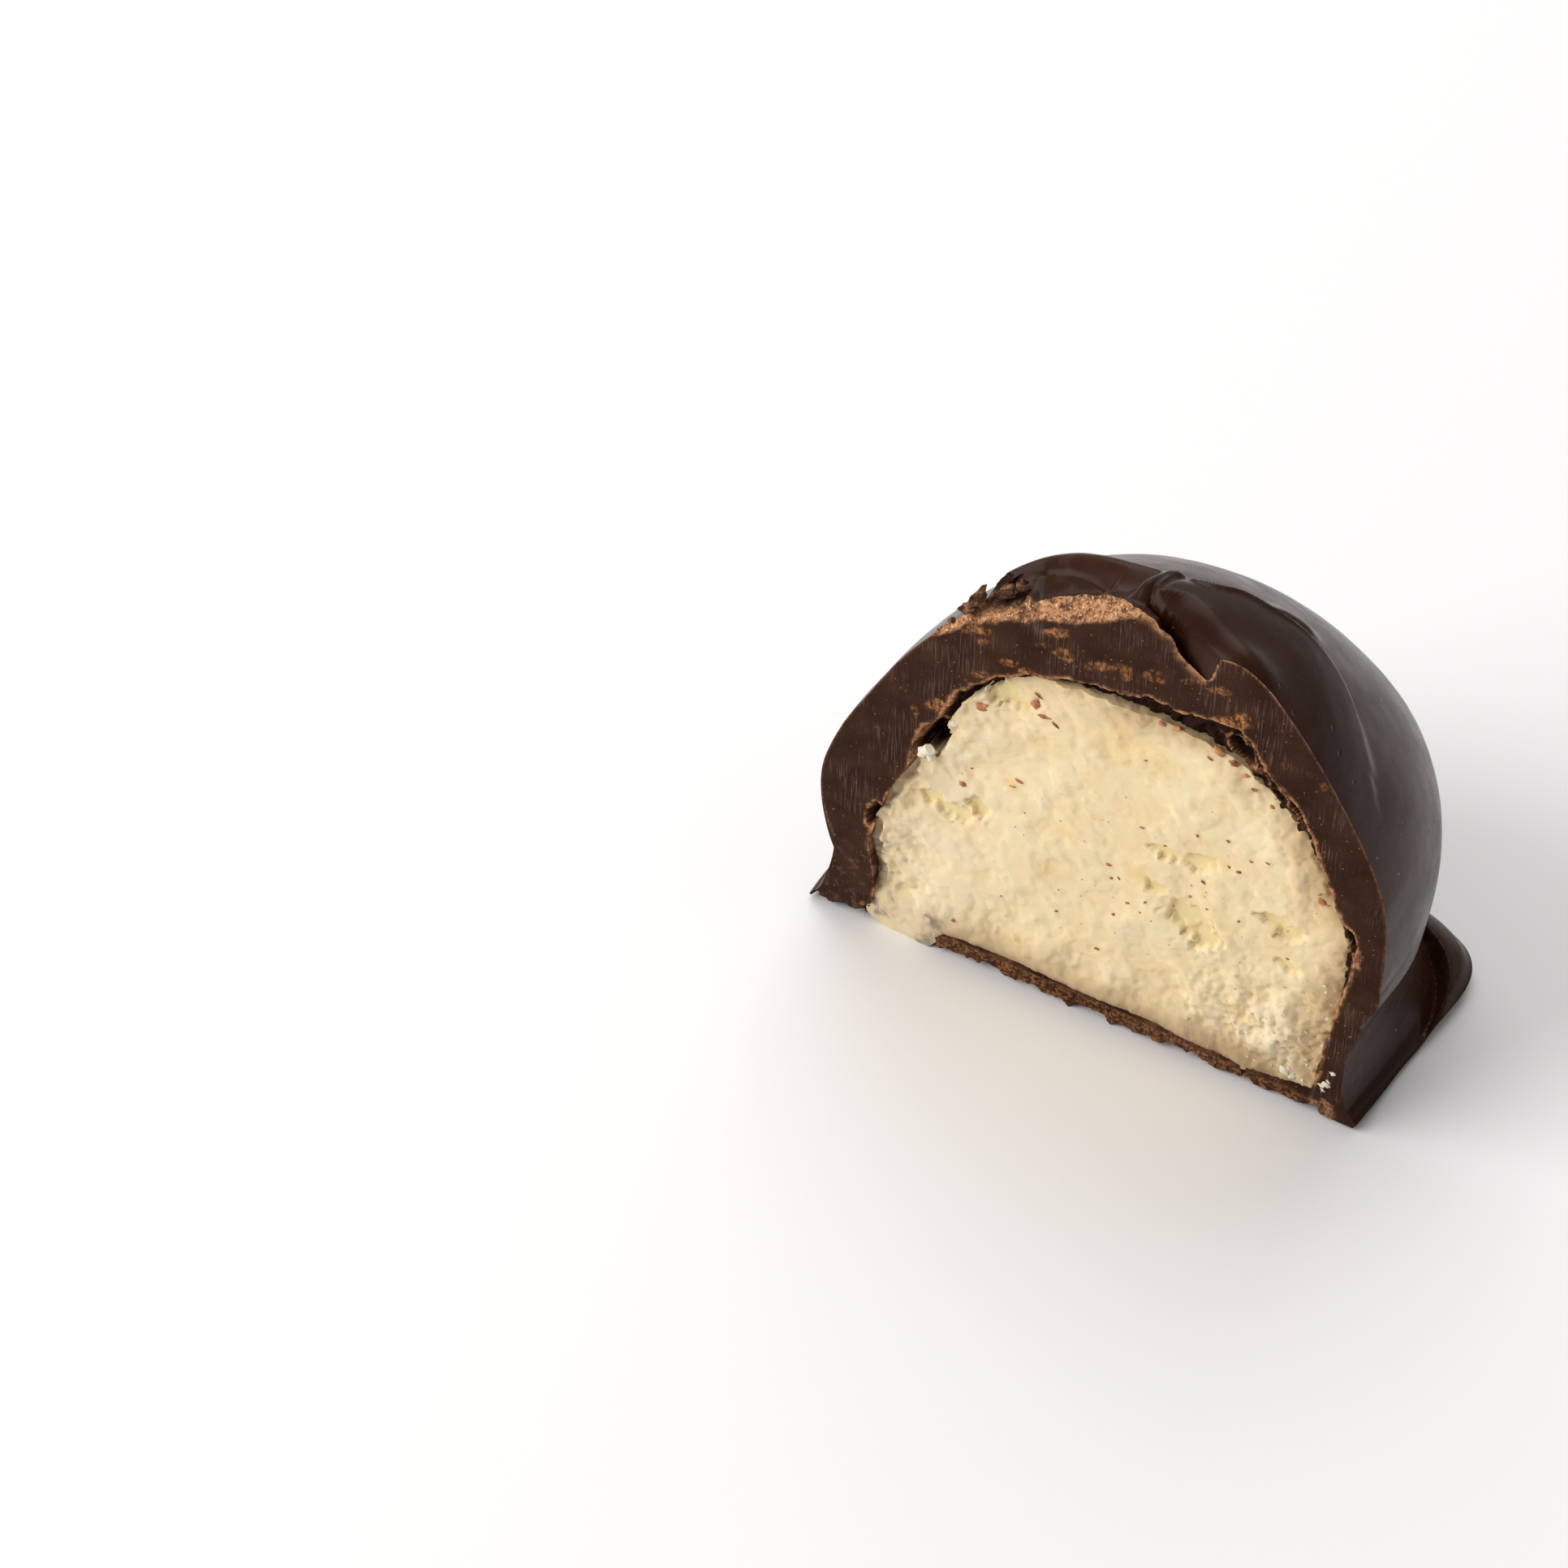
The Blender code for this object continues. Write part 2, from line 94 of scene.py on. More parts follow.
# The lobe of chocolate that lapped over the right side: its side from the knob down to the notch in the
# cut, which a groove follows, and the crest behind it
LOBE_SIDE = [(1.3, 3.6), (1.1, 2.3), (1.15, 1.35), (1.8, 0.85), (3.1, 0.48), (4.85, 0.0), (6.6, -0.8)]
LOBE_CREST = [(1.45, 3.6), (2.25, 3.1), (3.1, 3.4), (3.9, 4.05), (5.0, 4.35), (6.6, 4.8), (8.2, 4.8), (9.8, 4.1),
              (11.3, 3.0)]
LOBE_HEIGHT = 1.06
LOBE_EDGE = 1.35
LOBE_EDGE_AT_HOOD = 0.3
LOBE_WALL = 0.22
LOBE_CORNER = (1.5, 3.7)
LOBE_CORNER_SINK = 0.5
LOBE_CORNER_SPREAD = 0.8
LOBE_RIM = (6.2, 0.2)
LOBE_RIM_RISE = 0.42
LOBE_RIM_SPREAD = 1.1
NOTCH = (4.9, 0.2)
NOTCH_SPREAD = 1.8
LOBE_BACK = 0.38
LOBE_FADE_START = 5.5
LOBE_FADE_RUN = 7.5
GROOVE_LEFT = 0.42
GROOVE_RIGHT = 0.11
GROOVE_DEPTH = 1.15
GROOVE_OPENS_AT = 0.36
CREASE_DEPTH = 0.12
CREASE_WIDTH = 0.16
CREASE_PLACE = 0.42

# Low ridges along the folds: height, distance from the fold's line and width
Ridge = namedtuple("Ridge", "height place width")
SLOT_LEDGE = Ridge(0.12, 0.22, 0.08)
CREST_RIDGE = Ridge(0.12, 0.0, 0.16)
LEAF_DENT = Ridge(0.12, 0.14, 0.1)
LEAF_HEIGHT = 0.16
MELD = 5

# The foot: a corner and a small tail that ran out of its oval, and the raised flap in each between creases
Spill = namedtuple("Spill", "turn spread reach first slant last lip")
CORNER = Spill(36.0, 13.0, 2.85, 18.0, 34.0, 68.0, 0.9)
TAIL = Spill(128.0, 9.0, 1.9, 114.0, 0.0, 142.0, 0.5)
FOOT_DEPTH = 31.8
FOOT_RIPPLE = 0.25
FOOT_HOLLOW = 2.6
FOOT_EDGE = 0.55
LIP_PLACE = 0.66
LIP_WIDTH = 0.36
CREASE_TURN = 6.0
CREASE_DROP = 0.32
EDGE_ROUNDING = 0.3

# The cut: the granular edge that broke under the rope with the rope's own broken end, the strip round the
# cream, the chipped edge of the base and its missing corner
TORN_START = -8.3
TORN_END = 1.6
TORN_LINE = [(-8.5, 19.8), (-6.9, 21.3), (-5.7, 22.1), (-4.5, 22.75), (-2.5, 23.6), (-1.1, 24.2), (0.1, 24.8),
             (0.8, 25.4), (1.5, 25.8), (3.0, 24.9), (4.3, 23.9)]
TORN_SLOPE = 0.95
TORN_DEEPEST = 1.3
ROPE_END_LEFT = -6.9
ROPE_END_RIGHT = -4.3
ROPE_END_DEPTH = 0.9
STRIP_EDGE = 0.20
POCKET_EDGE = 0.26
BASE_ENDS_AT = 12.5
BASE_CHIP_DEPTH = 0.5
CHIP_LEFT = -12.3
CHIP_RIGHT = -7.65
CHIP_BACK = 2.1

# Where the clean cut ends and the broken strip or the cream begins, from the missing corner of the base
# up the left wall, over the top and down the right wall to the base
OPENING = [(-7.7, -1.2), (-12.6, -1.2), (-12.2, 0.5), (-11.2, 1.5), (-10.9, 3.1), (-11.3, 4.9), (-11.35, 5.9),
           (-11.05, 7.2), (-10.6, 8.6), (-10.2, 9.6), (-9.5, 10.9), (-9.35, 12.0), (-9.2, 13.2), (-8.8, 14.3),
           (-8.0, 15.2), (-7.7, 16.1), (-7.0, 17.4), (-6.2, 18.1), (-5.5, 18.9), (-3.6, 20.0), (-2.0, 20.6),
           (-0.5, 20.9), (1.2, 21.1), (2.3, 21.5), (3.4, 21.35), (5.3, 21.6), (6.5, 21.7), (7.2, 21.0),
           (7.9, 19.9), (8.6, 19.3), (9.6, 18.5), (10.4, 17.0), (11.1, 15.3), (11.7, 13.7), (12.3, 12.8),
           (12.95, 11.9), (13.05, 10.9), (12.9, 9.3), (12.5, 7.6), (12.25, 5.4), (12.1, 4.0), (11.9, 0.95),
           (6.0, 1.15), (0.0, 1.3), (-7.5, 1.3)]

# The cream's broken face: its mean depth, and the level and thickness of each ragged sheet of its crust
FACE_DEPTH = 0.42
CRUST_SHEETS = ((-0.32, 0.05), (-0.02, 0.09), (0.26, 0.08), (0.5, 0.07))

# Small hollows where chocolate broke away: place on the cut, half length, half width, turn and depth
Pocket = namedtuple("Pocket", "x z long wide turn depth")
POCKETS = [Pocket(*row) for row in (
    (-8.4, 13.5, 1.5, 0.50, 62, 1.5), (-11.2, 7.4, 0.9, 0.40, 78, 0.7), (6.4, 19.9, 0.9, 0.45, -40, 0.7),
    (8.1, 19.0, 0.8, 0.26, -35, 0.6), (9.5, 17.9, 0.9, 0.24, -45, 0.6), (10.9, 15.3, 0.7, 0.2, -55, 0.5),
    (11.6, 13.8, 0.75, 0.14, -75, 0.5), (12.75, 11.7, 1.0, 0.3, -70, 0.6), (13.2, 6.0, 0.12, 0.10, 0, 0.3),
    (8.4, 1.0, 0.10, 0.7, 8, 0.6))]

# The deep hollow in the cream beside the left wall
CAVITY = Pocket(-8.25, 13.35, 1.35, 0.52, 62, 1.6)

# Smears that the knife dragged over the cut: place, half length, half height and strength
Smear = namedtuple("Smear", "x z long tall strength")
SMEAR_TURN = 22.0
SMEARS = [Smear(*row) for row in (
    (-6.3, 21.4, 0.7, 0.3, 0.9), (-6.0, 20.9, 0.3, 0.2, 0.7), (-5.6, 22.3, 0.35, 0.25, 0.6),
    (-2.4, 23.1, 0.9, 0.25, 1.0), (-2.0, 22.0, 0.5, 0.4, 0.8), (-4.6, 20.3, 0.5, 0.25, 0.6),
    (-3.0, 22.1, 0.5, 0.15, 0.4), (-0.1, 22.2, 0.9, 0.3, 0.8), (1.0, 22.3, 0.35, 0.45, 0.6),
    (2.3, 22.8, 0.6, 0.4, 0.6), (-6.0, 18.9, 0.45, 0.25, 0.7), (-9.2, 15.1, 0.2, 0.35, 0.7),
    (-3.7, 20.1, 0.4, 0.3, 1.0), (-8.1, 15.9, 0.7, 0.4, 1.0), (4.1, 23.4, 0.6, 0.15, 0.5),
    (5.5, 23.5, 0.5, 0.25, 0.6), (6.6, 22.4, 0.4, 0.4, 0.9), (5.8, 21.8, 1.4, 0.35, 1.0),
    (10.5, 20.4, 0.2, 0.3, 0.4), (8.7, 20.7, 0.2, 0.2, 0.5), (-11.6, 1.0, 0.3, 0.3, 0.9))]

# How far the hollow's wall stands in from its plain form near the cut, by height, on the left and right
HOLLOW_LEFT = [(0.0, -1.3), (1.2, -0.8), (2.5, 0.2), (3.5, 0.3), (5.2, 0.1), (7.4, 0.55), (9.6, 0.5),
               (11.6, 0.45), (13.5, 0.2), (15.0, 0.0), (16.5, -0.4), (18.5, -0.6), (20.0, -0.5)]
HOLLOW_RIGHT = [(0.0, 0.5), (1.5, 0.4), (5.0, 0.2), (8.0, -0.1), (11.0, -0.3), (12.5, -0.2), (14.0, 0.1),
                (16.0, 0.2), (18.0, 0.1)]
HOLLOW_REACH = 3.5
CREAM_CORNER = 0.6
CREAM_OVERLAP = 0.14

# Hollows in the broken cream, as rough ovals that join, and its yellower patches, the first of which is painted
# shadow under the coat's overhang at the top: place on the cut, half width, half height and share
Patch = namedtuple("Patch", "x z wide tall share", defaults=(1.0,))
PIT_GROWTH = 1.15
PIT_DEPTH = 0.20
CREAM_PITS = [Patch(*row) for row in (
    (-8.3, 9.75, 0.55, 0.42), (-7.2, 9.3, 0.9, 0.6), (-6.0, 10.3, 0.5, 0.6), (3.7, 12.2, 1.1, 0.35),
    (5.0, 12.2, 0.6, 0.5), (5.5, 12.7, 0.5, 0.35), (4.8, 8.9, 1.0, 0.7), (5.6, 8.0, 0.9, 0.8),
    (8.8, 10.9, 0.6, 0.35), (9.6, 10.4, 0.8, 0.5), (-4.9, 17.9, 1.2, 0.6), (9.9, 8.3, 0.6, 0.35),
    (3.2, 9.9, 0.5, 0.3))]
WARM_PATCHES_AND_SHADOW = [Patch(*row) for row in (
    (1.5, 17.6, 4.0, 1.8, 0.6), (5.3, 8.4, 1.4, 1.1, 1.0), (2.0, 10.1, 1.3, 0.8, 1.0),
    (-4.3, 12.6, 1.2, 1.0, 1.0), (-1.6, 10.9, 1.0, 0.5, 0.8), (-2.5, 16.0, 2.0, 0.8, 0.5),
    (6.2, 9.3, 1.6, 1.0, 0.6), (9.6, 9.0, 1.6, 1.4, 0.5))]

# Bits that lie on the cream or stick in the cut: place on the cut and size
Bit = namedtuple("Bit", "x z size")
LARGE_CRUMBS = [Bit(*row) for row in (
    (-6.0, 16.7, 0.30), (-5.8, 16.9, 0.20), (-3.4, 18.0, 0.26), (2.7, 19.9, 0.22), (-6.8, 11.4, 0.18),
    (3.5, 20.0, 0.22), (0.7, 10.0, 0.13), (0.9, 9.2, 0.10), (7.0, 12.9, 0.13), (7.5, 13.8, 0.10),
    (5.4, 11.4, 0.12), (2.7, 8.7, 0.10), (1.8, 8.1, 0.10), (-1.7, 5.7, 0.11), (0.5, 4.4, 0.13),
    (11.0, 13.2, 0.22), (5.5, 19.6, 0.30), (6.2, 19.2, 0.26), (6.8, 18.7, 0.22), (7.3, 18.2, 0.16),
    (-6.9, 2.4, 0.12), (5.1, 19.0, 0.16), (8.2, 17.6, 0.14), (10.9, 13.6, 0.12))]
SHAVINGS = [Bit(*row) for row in (
    (-2.9, 17.6, 0.30), (-2.3, 17.4, 0.22), (-3.3, 18.6, 0.26), (-4.0, 12.9, 0.24), (-4.3, 12.4, 0.16),
    (2.2, 13.2, 0.14), (8.3, 14.2, 0.12), (11.2, 13.1, 0.2))]
SUGAR_FLAKES = [Bit(*row) for row in (
    (9.7, 3.5, 0.16), (10.4, 1.8, 0.30), (10.7, 1.6, 0.24), (12.75, 3.2, 0.20), (12.5, 2.3, 0.28),
    (12.3, 2.1, 0.20), (12.6, 2.55, 0.18), (12.4, 1.85, 0.16), (-8.5, 12.9, 0.46), (-8.3, 12.6, 0.34),
    (-8.8, 12.5, 0.20), (-7.4, 14.9, 0.26))]

# Where small crumbs and flakes fall: middle and spread of the crumbs along each axis, the oval they stay in,
# and the span of the flakes along each axis
CRUMB_SCATTER = ((2.5, 5.0), (9.5, 4.2))
CRUMB_FIELD = (0.8, 8.5, 11.0, 10.0)
CRUMB_SIZES = (0.5, 0.6, 0.8, 1.0, 1.5)
CRUMB_SEED = 11
FLAKE_FIELD = ((3.0, 12.2), (1.3, 9.0))
FLAKE_SIZES = (0.04, 0.05, 0.07, 0.10)
FLAKE_SEED = 23
BIT_SHAPE_SEED = 4

# Broken pieces that stand up where the rope ends: place, size, flatness and turn
Shard = namedtuple("Shard", "place size flat turn")
SHARDS = [Shard((-6.60, 0.50, 22.75), 0.82, 0.32, 1.15), Shard((-6.90, 0.50, 22.1), 0.55, 0.5, 0.5),
          Shard((-5.5, 1.2, 23.0), 0.62, 0.30, 0.5), Shard((-4.8, 1.4, 23.45), 0.45, 0.30, 0.35),
          Shard((-7.75, 0.45, 20.9), 0.26, 0.6, 0.8), Shard((-8.2, 0.35, 20.3), 0.22, 0.6, 0.9)]
SPECKLED_LEFT_OF = -6.2

# Faces round each heap and down it, and the grid of the cut faces
COAT_SEGMENTS = 560
COAT_FOLD_ROWS = 112
COAT_DOME_ROWS = 196
COAT_FOOT_ROWS = 30
COAT_UNDER_ROWS = 6
FOLD_REACH = 11.5
CREAM_SEGMENTS = 400
CREAM_DOME_ROWS = 130
CREAM_UNDER_ROWS = 20
HOLLOW_SEGMENTS = 160
FACE_STEP = 0.11
FACE_LEFT = -16.5
FACE_RIGHT = 16.5
FACE_BOTTOM = -0.8
FACE_TOP = 27.6
CUT_REACH = 24.0
FACE_REACH = 3.0

# The hollow's own rows, as it only needs to cut
HOLLOW_DOME_ROWS = 60
HOLLOW_UNDER_ROWS = 12

# How deep light goes into the cream and the flakes, and the floor's faint clouds
SCATTER_DEPTH = 0.4 * MM
FLOOR_CLOUDS = (0.96, 0.96, 0.96)

# Ways from the chocolate to the two soft lights, and how wide and how far off they are in metres
BACK_LIGHT_WAY = (-0.30, 0.55, 0.78)
FRONT_LIGHT_WAY = (-0.68, -0.58, 0.52)
BACK_LIGHT_SIZE = 0.55
FRONT_LIGHT_SIZE = 0.50
LIGHT_DISTANCE = 0.6
FLOOR_HALF = 1.2

# What the camera looks at, from the middle of the cut's line in millimetres, the way back to it, and its sensor
CAMERA_TARGET = (-19.37, 5.56, 0.45)
CAMERA_WAY = (0.3623, -0.6072, 0.7071)
SENSOR_WIDTH = 36.0


def smooth_step(value):
    """Rises smoothly from 0 to 1 as the value does."""
    t = np.clip(value, 0.0, 1.0)
    return t * t * (3.0 - 2.0 * t)


def bump(value, middle, width):
    return np.exp(-((value - middle) / width) ** 2)


def away_from(points, plan_place):
    """Distance of each point from a place, seen from above."""
    return np.hypot(*(points[:, :2] - plan_place).T)


def roughness_at(places, size, layer):
    """Smooth noise between -1 and 1 with features of about the given size, one value for each place."""
    scaled = np.asarray(places, float) / size
    if scaled.shape[1] == 2:
        scaled = np.column_stack([scaled[:, 0], np.full(len(scaled), float(layer)), scaled[:, 1]])
    else:
        scaled = scaled + layer * 13.7
    return np.array([noise.noise(place) for place in scaled.tolist()])


def facets_at(places, size, layer):
    """Depth of broken facets of about a size: each one is flat, tilted its own way and set in its own depth."""
    depths = []
    for x, z in (np.asarray(places, float) / size).tolist():
        distances, middles = noise.voronoi((x, float(layer), z))
        own = middles[0]
        level = 0.5 + 0.6 * noise.noise(own * 5.3)
        tilt = noise.noise(own * 3.7) * (x - own.x) + noise.noise(own * 4.9) * (z - own.z)
        depths.append(level + 1.3 * tilt + 0.35 * max(0.0, 1.0 - 6.0 * (distances[1] - distances[0])))
    return np.array(depths)


def ledges_of(height, steps, edge):
    """Turns a smooth height into flat ledges with steep edges, the way dry cream breaks."""
    level = height * steps
    whole = np.floor(level)
    return (whole + smooth_step((level - whole) / edge)) / steps


def ring_radius(heap, z):
    """Half the heap's width at a height."""
    above = np.clip((z - heap.widest) / (heap.top - heap.widest), 0.0, 1.0)
    below = np.clip((heap.widest - z) / heap.widest, 0.0, 1.0)
    domed = heap.radius * (1.0 - above ** heap.closing) ** heap.blunt
    tucked = heap.radius * (1.0 - heap.tuck * below ** 2)
    return np.where(z >= heap.widest, domed, tucked)


def ring_middle(heap, z):
    """Middle of the ring at a height: it leans to the right and forward as it rises."""
    lean = heap.lean_low + (heap.lean_high - heap.lean_low) * smooth_step((z - LEAN_START) / LEAN_RUN)
    return lean, MIDDLE_BACK - TIP_FORWARD * (z / coat_heap().top) ** 2


def on_dome(heap, azimuth, z):
    """The heap's smooth surface at an angle and a height."""
    swell = heap.swell
    away = (np.degrees(azimuth) - swell.turn + 180.0) % 360.0 - 180.0
    swollen = swell.amount * bump(away, 0.0, swell.spread) * bump(z, swell.height, swell.tall)
    radius = ring_radius(heap, z) + swollen
    middle_x, middle_y = ring_middle(heap, z)
    x = middle_x + radius * np.cos(azimuth)
    y = middle_y + radius * DEPTH_RATIO * np.sin(azimuth)
    return np.stack([x, y, z + np.zeros_like(azimuth)], axis=-1)


def outward(heap, azimuth, z):
    """Unit normals of the dome, from two small steps along it."""
    step = 0.01
    around = on_dome(heap, azimuth + step, z) - on_dome(heap, azimuth - step, z)
    low = on_dome(heap, azimuth, np.maximum(z - step, 0.0))
    up = on_dome(heap, azimuth, np.minimum(z + step, heap.top - 1e-4)) - low
    normal = np.cross(around, up)
    length = np.linalg.norm(normal, axis=-1, keepdims=True)
    at_tip = length[:, 0] < 1e-9
    normal = normal / np.maximum(length, 1e-9)
    normal[at_tip] = (0.0, 0.0, 1.0)
    return normal


def dome_heights(heap, bottom, rows, fold_rows=0):
    """Heights of the rings from the top down, even along the surface but closer among the folds."""
    turn = np.linspace(0.0, 1.0, 2000)
    z = bottom + (heap.top - bottom) * np.cos(turn * math.pi / 2)
    radius = ring_radius(heap, z)
    run = np.concatenate([[0.0], np.cumsum(np.hypot(np.diff(radius), np.diff(z)))])
    if fold_rows:
        folded = np.linspace(0.0, FOLD_REACH, fold_rows + 1)[:-1]
        places = np.concatenate([folded, np.linspace(FOLD_REACH, run[-1], rows - fold_rows + 1)])
    else:
        places = np.linspace(0.0, run[-1], rows + 1)
    return np.interp(places, run, z)


def laid_on_coat(plan, count=30):
    """A smooth path through plan points, dropped onto the coat's dome."""
    coat = coat_heap()
    plan = np.array(plan)
    ends = np.vstack([2 * plan[0] - plan[1], plan, 2 * plan[-1] - plan[-2]])
    path = []
    for place in np.linspace(0.0, len(plan) - 1.001, count):
        i, t = int(place), place % 1.0
        a, b, c, d = ends[i:i + 4]
        path.append(0.5 * (2 * b + (c - a) * t + (2 * a - 5 * b + 4 * c - d) * t ** 2
                           + (3 * b - a - 3 * c + d) * t ** 3))
    path = np.array(path)
    low = np.full(count, coat.widest)
    high = np.full(count, coat.top)
    for _ in range(40):
        z = (low + high) / 2
        middle_x, middle_y = ring_middle(coat, z)
        reach = np.hypot(path[:, 0] - middle_x, (path[:, 1] - middle_y) / DEPTH_RATIO)
        inside = reach < ring_radius(coat, z)
        low = np.where(inside, z, low)
        high = np.where(inside, high, z)
    return np.column_stack([path, (low + high) / 2])


def beside(points, path):
    """Distance to a path, how far along it the nearest place is, and whether a point is on its left."""
    nearest = np.full(len(points), 1e9)
    along = np.zeros(len(points))
    left = np.zeros(len(points), bool)
    pieces = len(path) - 1
    for i in range(pieces):
        start, span = path[i], path[i + 1] - path[i]
        offset = points - start
        t = np.clip(offset @ span / (span @ span), 0.0, 1.0)
        distance = np.linalg.norm(offset - t[:, None] * span, axis=1)
        closer = distance < nearest
        nearest = np.where(closer, distance, nearest)
        along = np.where(closer, (i + t) / pieces, along)
        left = np.where(closer, span[0] * offset[:, 1] > span[1] * offset[:, 0], left)
    return nearest, along, left


def fold_height(points, fold):
    """Height of one fold, whose side toward the cut and far side may spread by different widths."""
    distance, along, behind = beside(points, laid_on_coat(fold.plan))
    width = np.where(behind, fold.far, fold.near)
    taper = smooth_step((along + 0.02) / fold.ends) * smooth_step((1.02 - along) / fold.ends)
    return fold.height * bump(distance, 0.0, width) * taper


def ridge_height(distance, ridge):
    return ridge.height * bump(distance, ridge.place, ridge.width)


def coat_relief(points):
    """How far the hand-made folds stand off the plain dome: the tallest one counts where they meet."""
    from_side, along_side, in_lobe = beside(points, laid_on_coat(LOBE_SIDE))
    from_crest, along_crest, behind = beside(points, laid_on_coat(LOBE_CREST))
    past_hood = smooth_step((along_side - GROOVE_OPENS_AT) / 0.25)
    edge = LOBE_EDGE_AT_HOOD + (LOBE_EDGE - LOBE_EDGE_AT_HOOD) * past_hood
    inward = np.where(in_lobe, from_side, 0.0)
    rolled = (1.0 - LOBE_WALL) * np.sin(np.clip(inward / edge, 0.0, 1.0) * math.pi / 2)
    rolled += LOBE_WALL * smooth_step(inward / 0.12)
    lobe = LOBE_HEIGHT * rolled * np.where(behind, bump(from_crest, 0.0, LOBE_BACK), 1.0)
    lobe *= 1.0 - smooth_step((points[:, 0] - LOBE_FADE_START) / LOBE_FADE_RUN)
    lobe *= 1.0 - LOBE_CORNER_SINK * bump(away_from(points, LOBE_CORNER), 0.0, LOBE_CORNER_SPREAD)
    lobe += LOBE_RIM_RISE * in_lobe * bump(away_from(points, LOBE_RIM), 0.0, LOBE_RIM_SPREAD)
    heights = [lobe] + [fold_height(points, fold) for fold in (ROPE, HOOD, TORN_MASS, SIDE_FOLD)]
    tallest = sum(height ** MELD for height in heights) ** (1.0 / MELD)
    relief = tallest + fold_height(points, HOLLOW)

    # The groove beside the lobe: a faint crease at the hood that opens into a flat-bottomed slot with a ledge
    left_width = CREASE_WIDTH + (GROOVE_LEFT - CREASE_WIDTH) * smooth_step((along_side - GROOVE_OPENS_AT) / 0.4)
    seam = bump(inward, CREASE_PLACE, CREASE_WIDTH) * smooth_step(along_side / 0.1) * (1.0 - past_hood)
    relief -= CREASE_DEPTH * seam
    slot = np.exp(-(from_side / np.where(in_lobe, GROOVE_RIGHT, left_width)) ** 4)
    relief -= GROOVE_DEPTH * slot * past_hood
    relief += ridge_height(from_side, SLOT_LEDGE) * ~in_lobe * past_hood

    # Finer forms: the crest's thin ridge, the flat leaf in the hollow and the coat's slight waves
    relief += ridge_height(from_crest, CREST_RIDGE) * smooth_step((0.75 - along_crest) / 0.3)
    from_leaf, along_leaf, behind = beside(points, laid_on_coat(LEAF_EDGE))
    ends = smooth_step(along_leaf / 0.15) * smooth_step((1.0 - along_leaf) / 0.15)
    on_leaf = LEAF_HEIGHT * bump(from_leaf, 0.0, np.where(behind, 0.05, 1.2))
    relief += ends * np.where(behind, on_leaf - ridge_height(from_leaf, LEAF_DENT), on_leaf)
    relief += 0.05 * roughness_at(points, 3.4, 1) + 0.010 * roughness_at(points, 0.9, 2)
    return relief


def raised(heap, azimuth, z):
    """The dome with its folds, which stand off it squarely but straight up near the notch."""
    plain = on_dome(heap, azimuth, z)
    near = bump(away_from(plain, NOTCH), 0.0, NOTCH_SPREAD)[:, None]
    way = outward(heap, azimuth, z) * (1.0 - near) + np.array([0.0, 0.0, 1.0]) * near
    return plain + way * coat_relief(plain)[:, None]


def foot_reach(angle):
    """Distance from the middle to the foot's edge: an oval with a corner and a small tail."""
    sizes = bpy.context.scene.chocolate_sizes
    side, back = sizes.foot_width / MM / 2, FOOT_DEPTH / 2
    reach = side * back / np.hypot(back * np.cos(angle), side * np.sin(angle))
    for spill in (CORNER, TAIL):
        reach = reach + spill.reach * bump(np.degrees(angle), spill.turn, spill.spread)
    away_from_cut = smooth_step((1.45 - np.abs(angle - math.pi / 2)) / 0.3)
    return reach + FOOT_RIPPLE * np.sin(5.0 * angle + 0.6) * away_from_cut


def foot_lip(angle, out):
    """Height of the flaps of the corner and the tail, each behind a crease that slants in toward the dome."""
    height = np.zeros(len(angle))
    for spill in (CORNER, TAIL):
        past = np.degrees(angle) - spill.first - spill.slant * (0.95 - out)
        ends = smooth_step((spill.last - np.degrees(angle)) / (2.0 * CREASE_TURN))
        flap = smooth_step(past / CREASE_TURN) * ends * bump(out, LIP_PLACE, LIP_WIDTH)
        height += spill.lip * flap - CREASE_DROP * bump(past, -1.0, 3.0) * smooth_step((1.0 - out) / 0.25)
    return height * smooth_step(out / 0.3)


def foot_shape(azimuth, row):
    """The foot flares out from the neck, dips and ends in a low rounded lip over a flat underside."""
    coat = coat_heap()
    plan_x, plan_y = np.cos(azimuth), DEPTH_RATIO * np.sin(azimuth)
    angle = np.arctan2(plan_y, plan_x)
    angle = np.where(angle < -math.pi / 2, angle + 2 * math.pi, angle)
    neck = ring_radius(coat, np.array(NECK_HEIGHT)) * np.hypot(plan_x, plan_y)
    reach = foot_reach(angle)
    out = np.clip((row - COAT_DOME_ROWS) / COAT_FOOT_ROWS, 0.0, 1.0)
    distance = neck + (reach - neck) * out
    height = FOOT_EDGE + (NECK_HEIGHT - FOOT_EDGE) * (1.0 - out) ** FOOT_HOLLOW
    height += foot_lip(angle, out)
    height -= EDGE_ROUNDING * smooth_step((out - 0.85) / 0.15)

    below = row - COAT_DOME_ROWS - COAT_FOOT_ROWS
    inward = np.clip((below - 1) / (COAT_UNDER_ROWS - 1), 0.0, 1.0)
    distance = np.where(below > 0, (reach - EDGE_ROUNDING) * (1.0 - inward), distance)
    height = np.where(below > 0, 0.0, height)
    middle_x, middle_y = ring_middle(coat, np.array(NECK_HEIGHT))
    return np.stack([middle_x + distance * np.cos(angle), middle_y + distance * np.sin(angle), height], -1)


def waisted(points):
    """Lifts the neck near the cut on the right and draws the side in below it."""
    near = smooth_step(points[:, 0] / WAIST_FULL_AT)
    near = near * smooth_step((WAIST_ENDS_BACK - points[:, 1]) / WAIST_ENDS_BACK)
    points[:, 2] += NECK_RISE * near * bump(points[:, 2], NECK_HEIGHT, NECK_SPREAD)
    points[:, 0] += near * np.interp(points[:, 2], *np.array(WAIST).T)
    return points


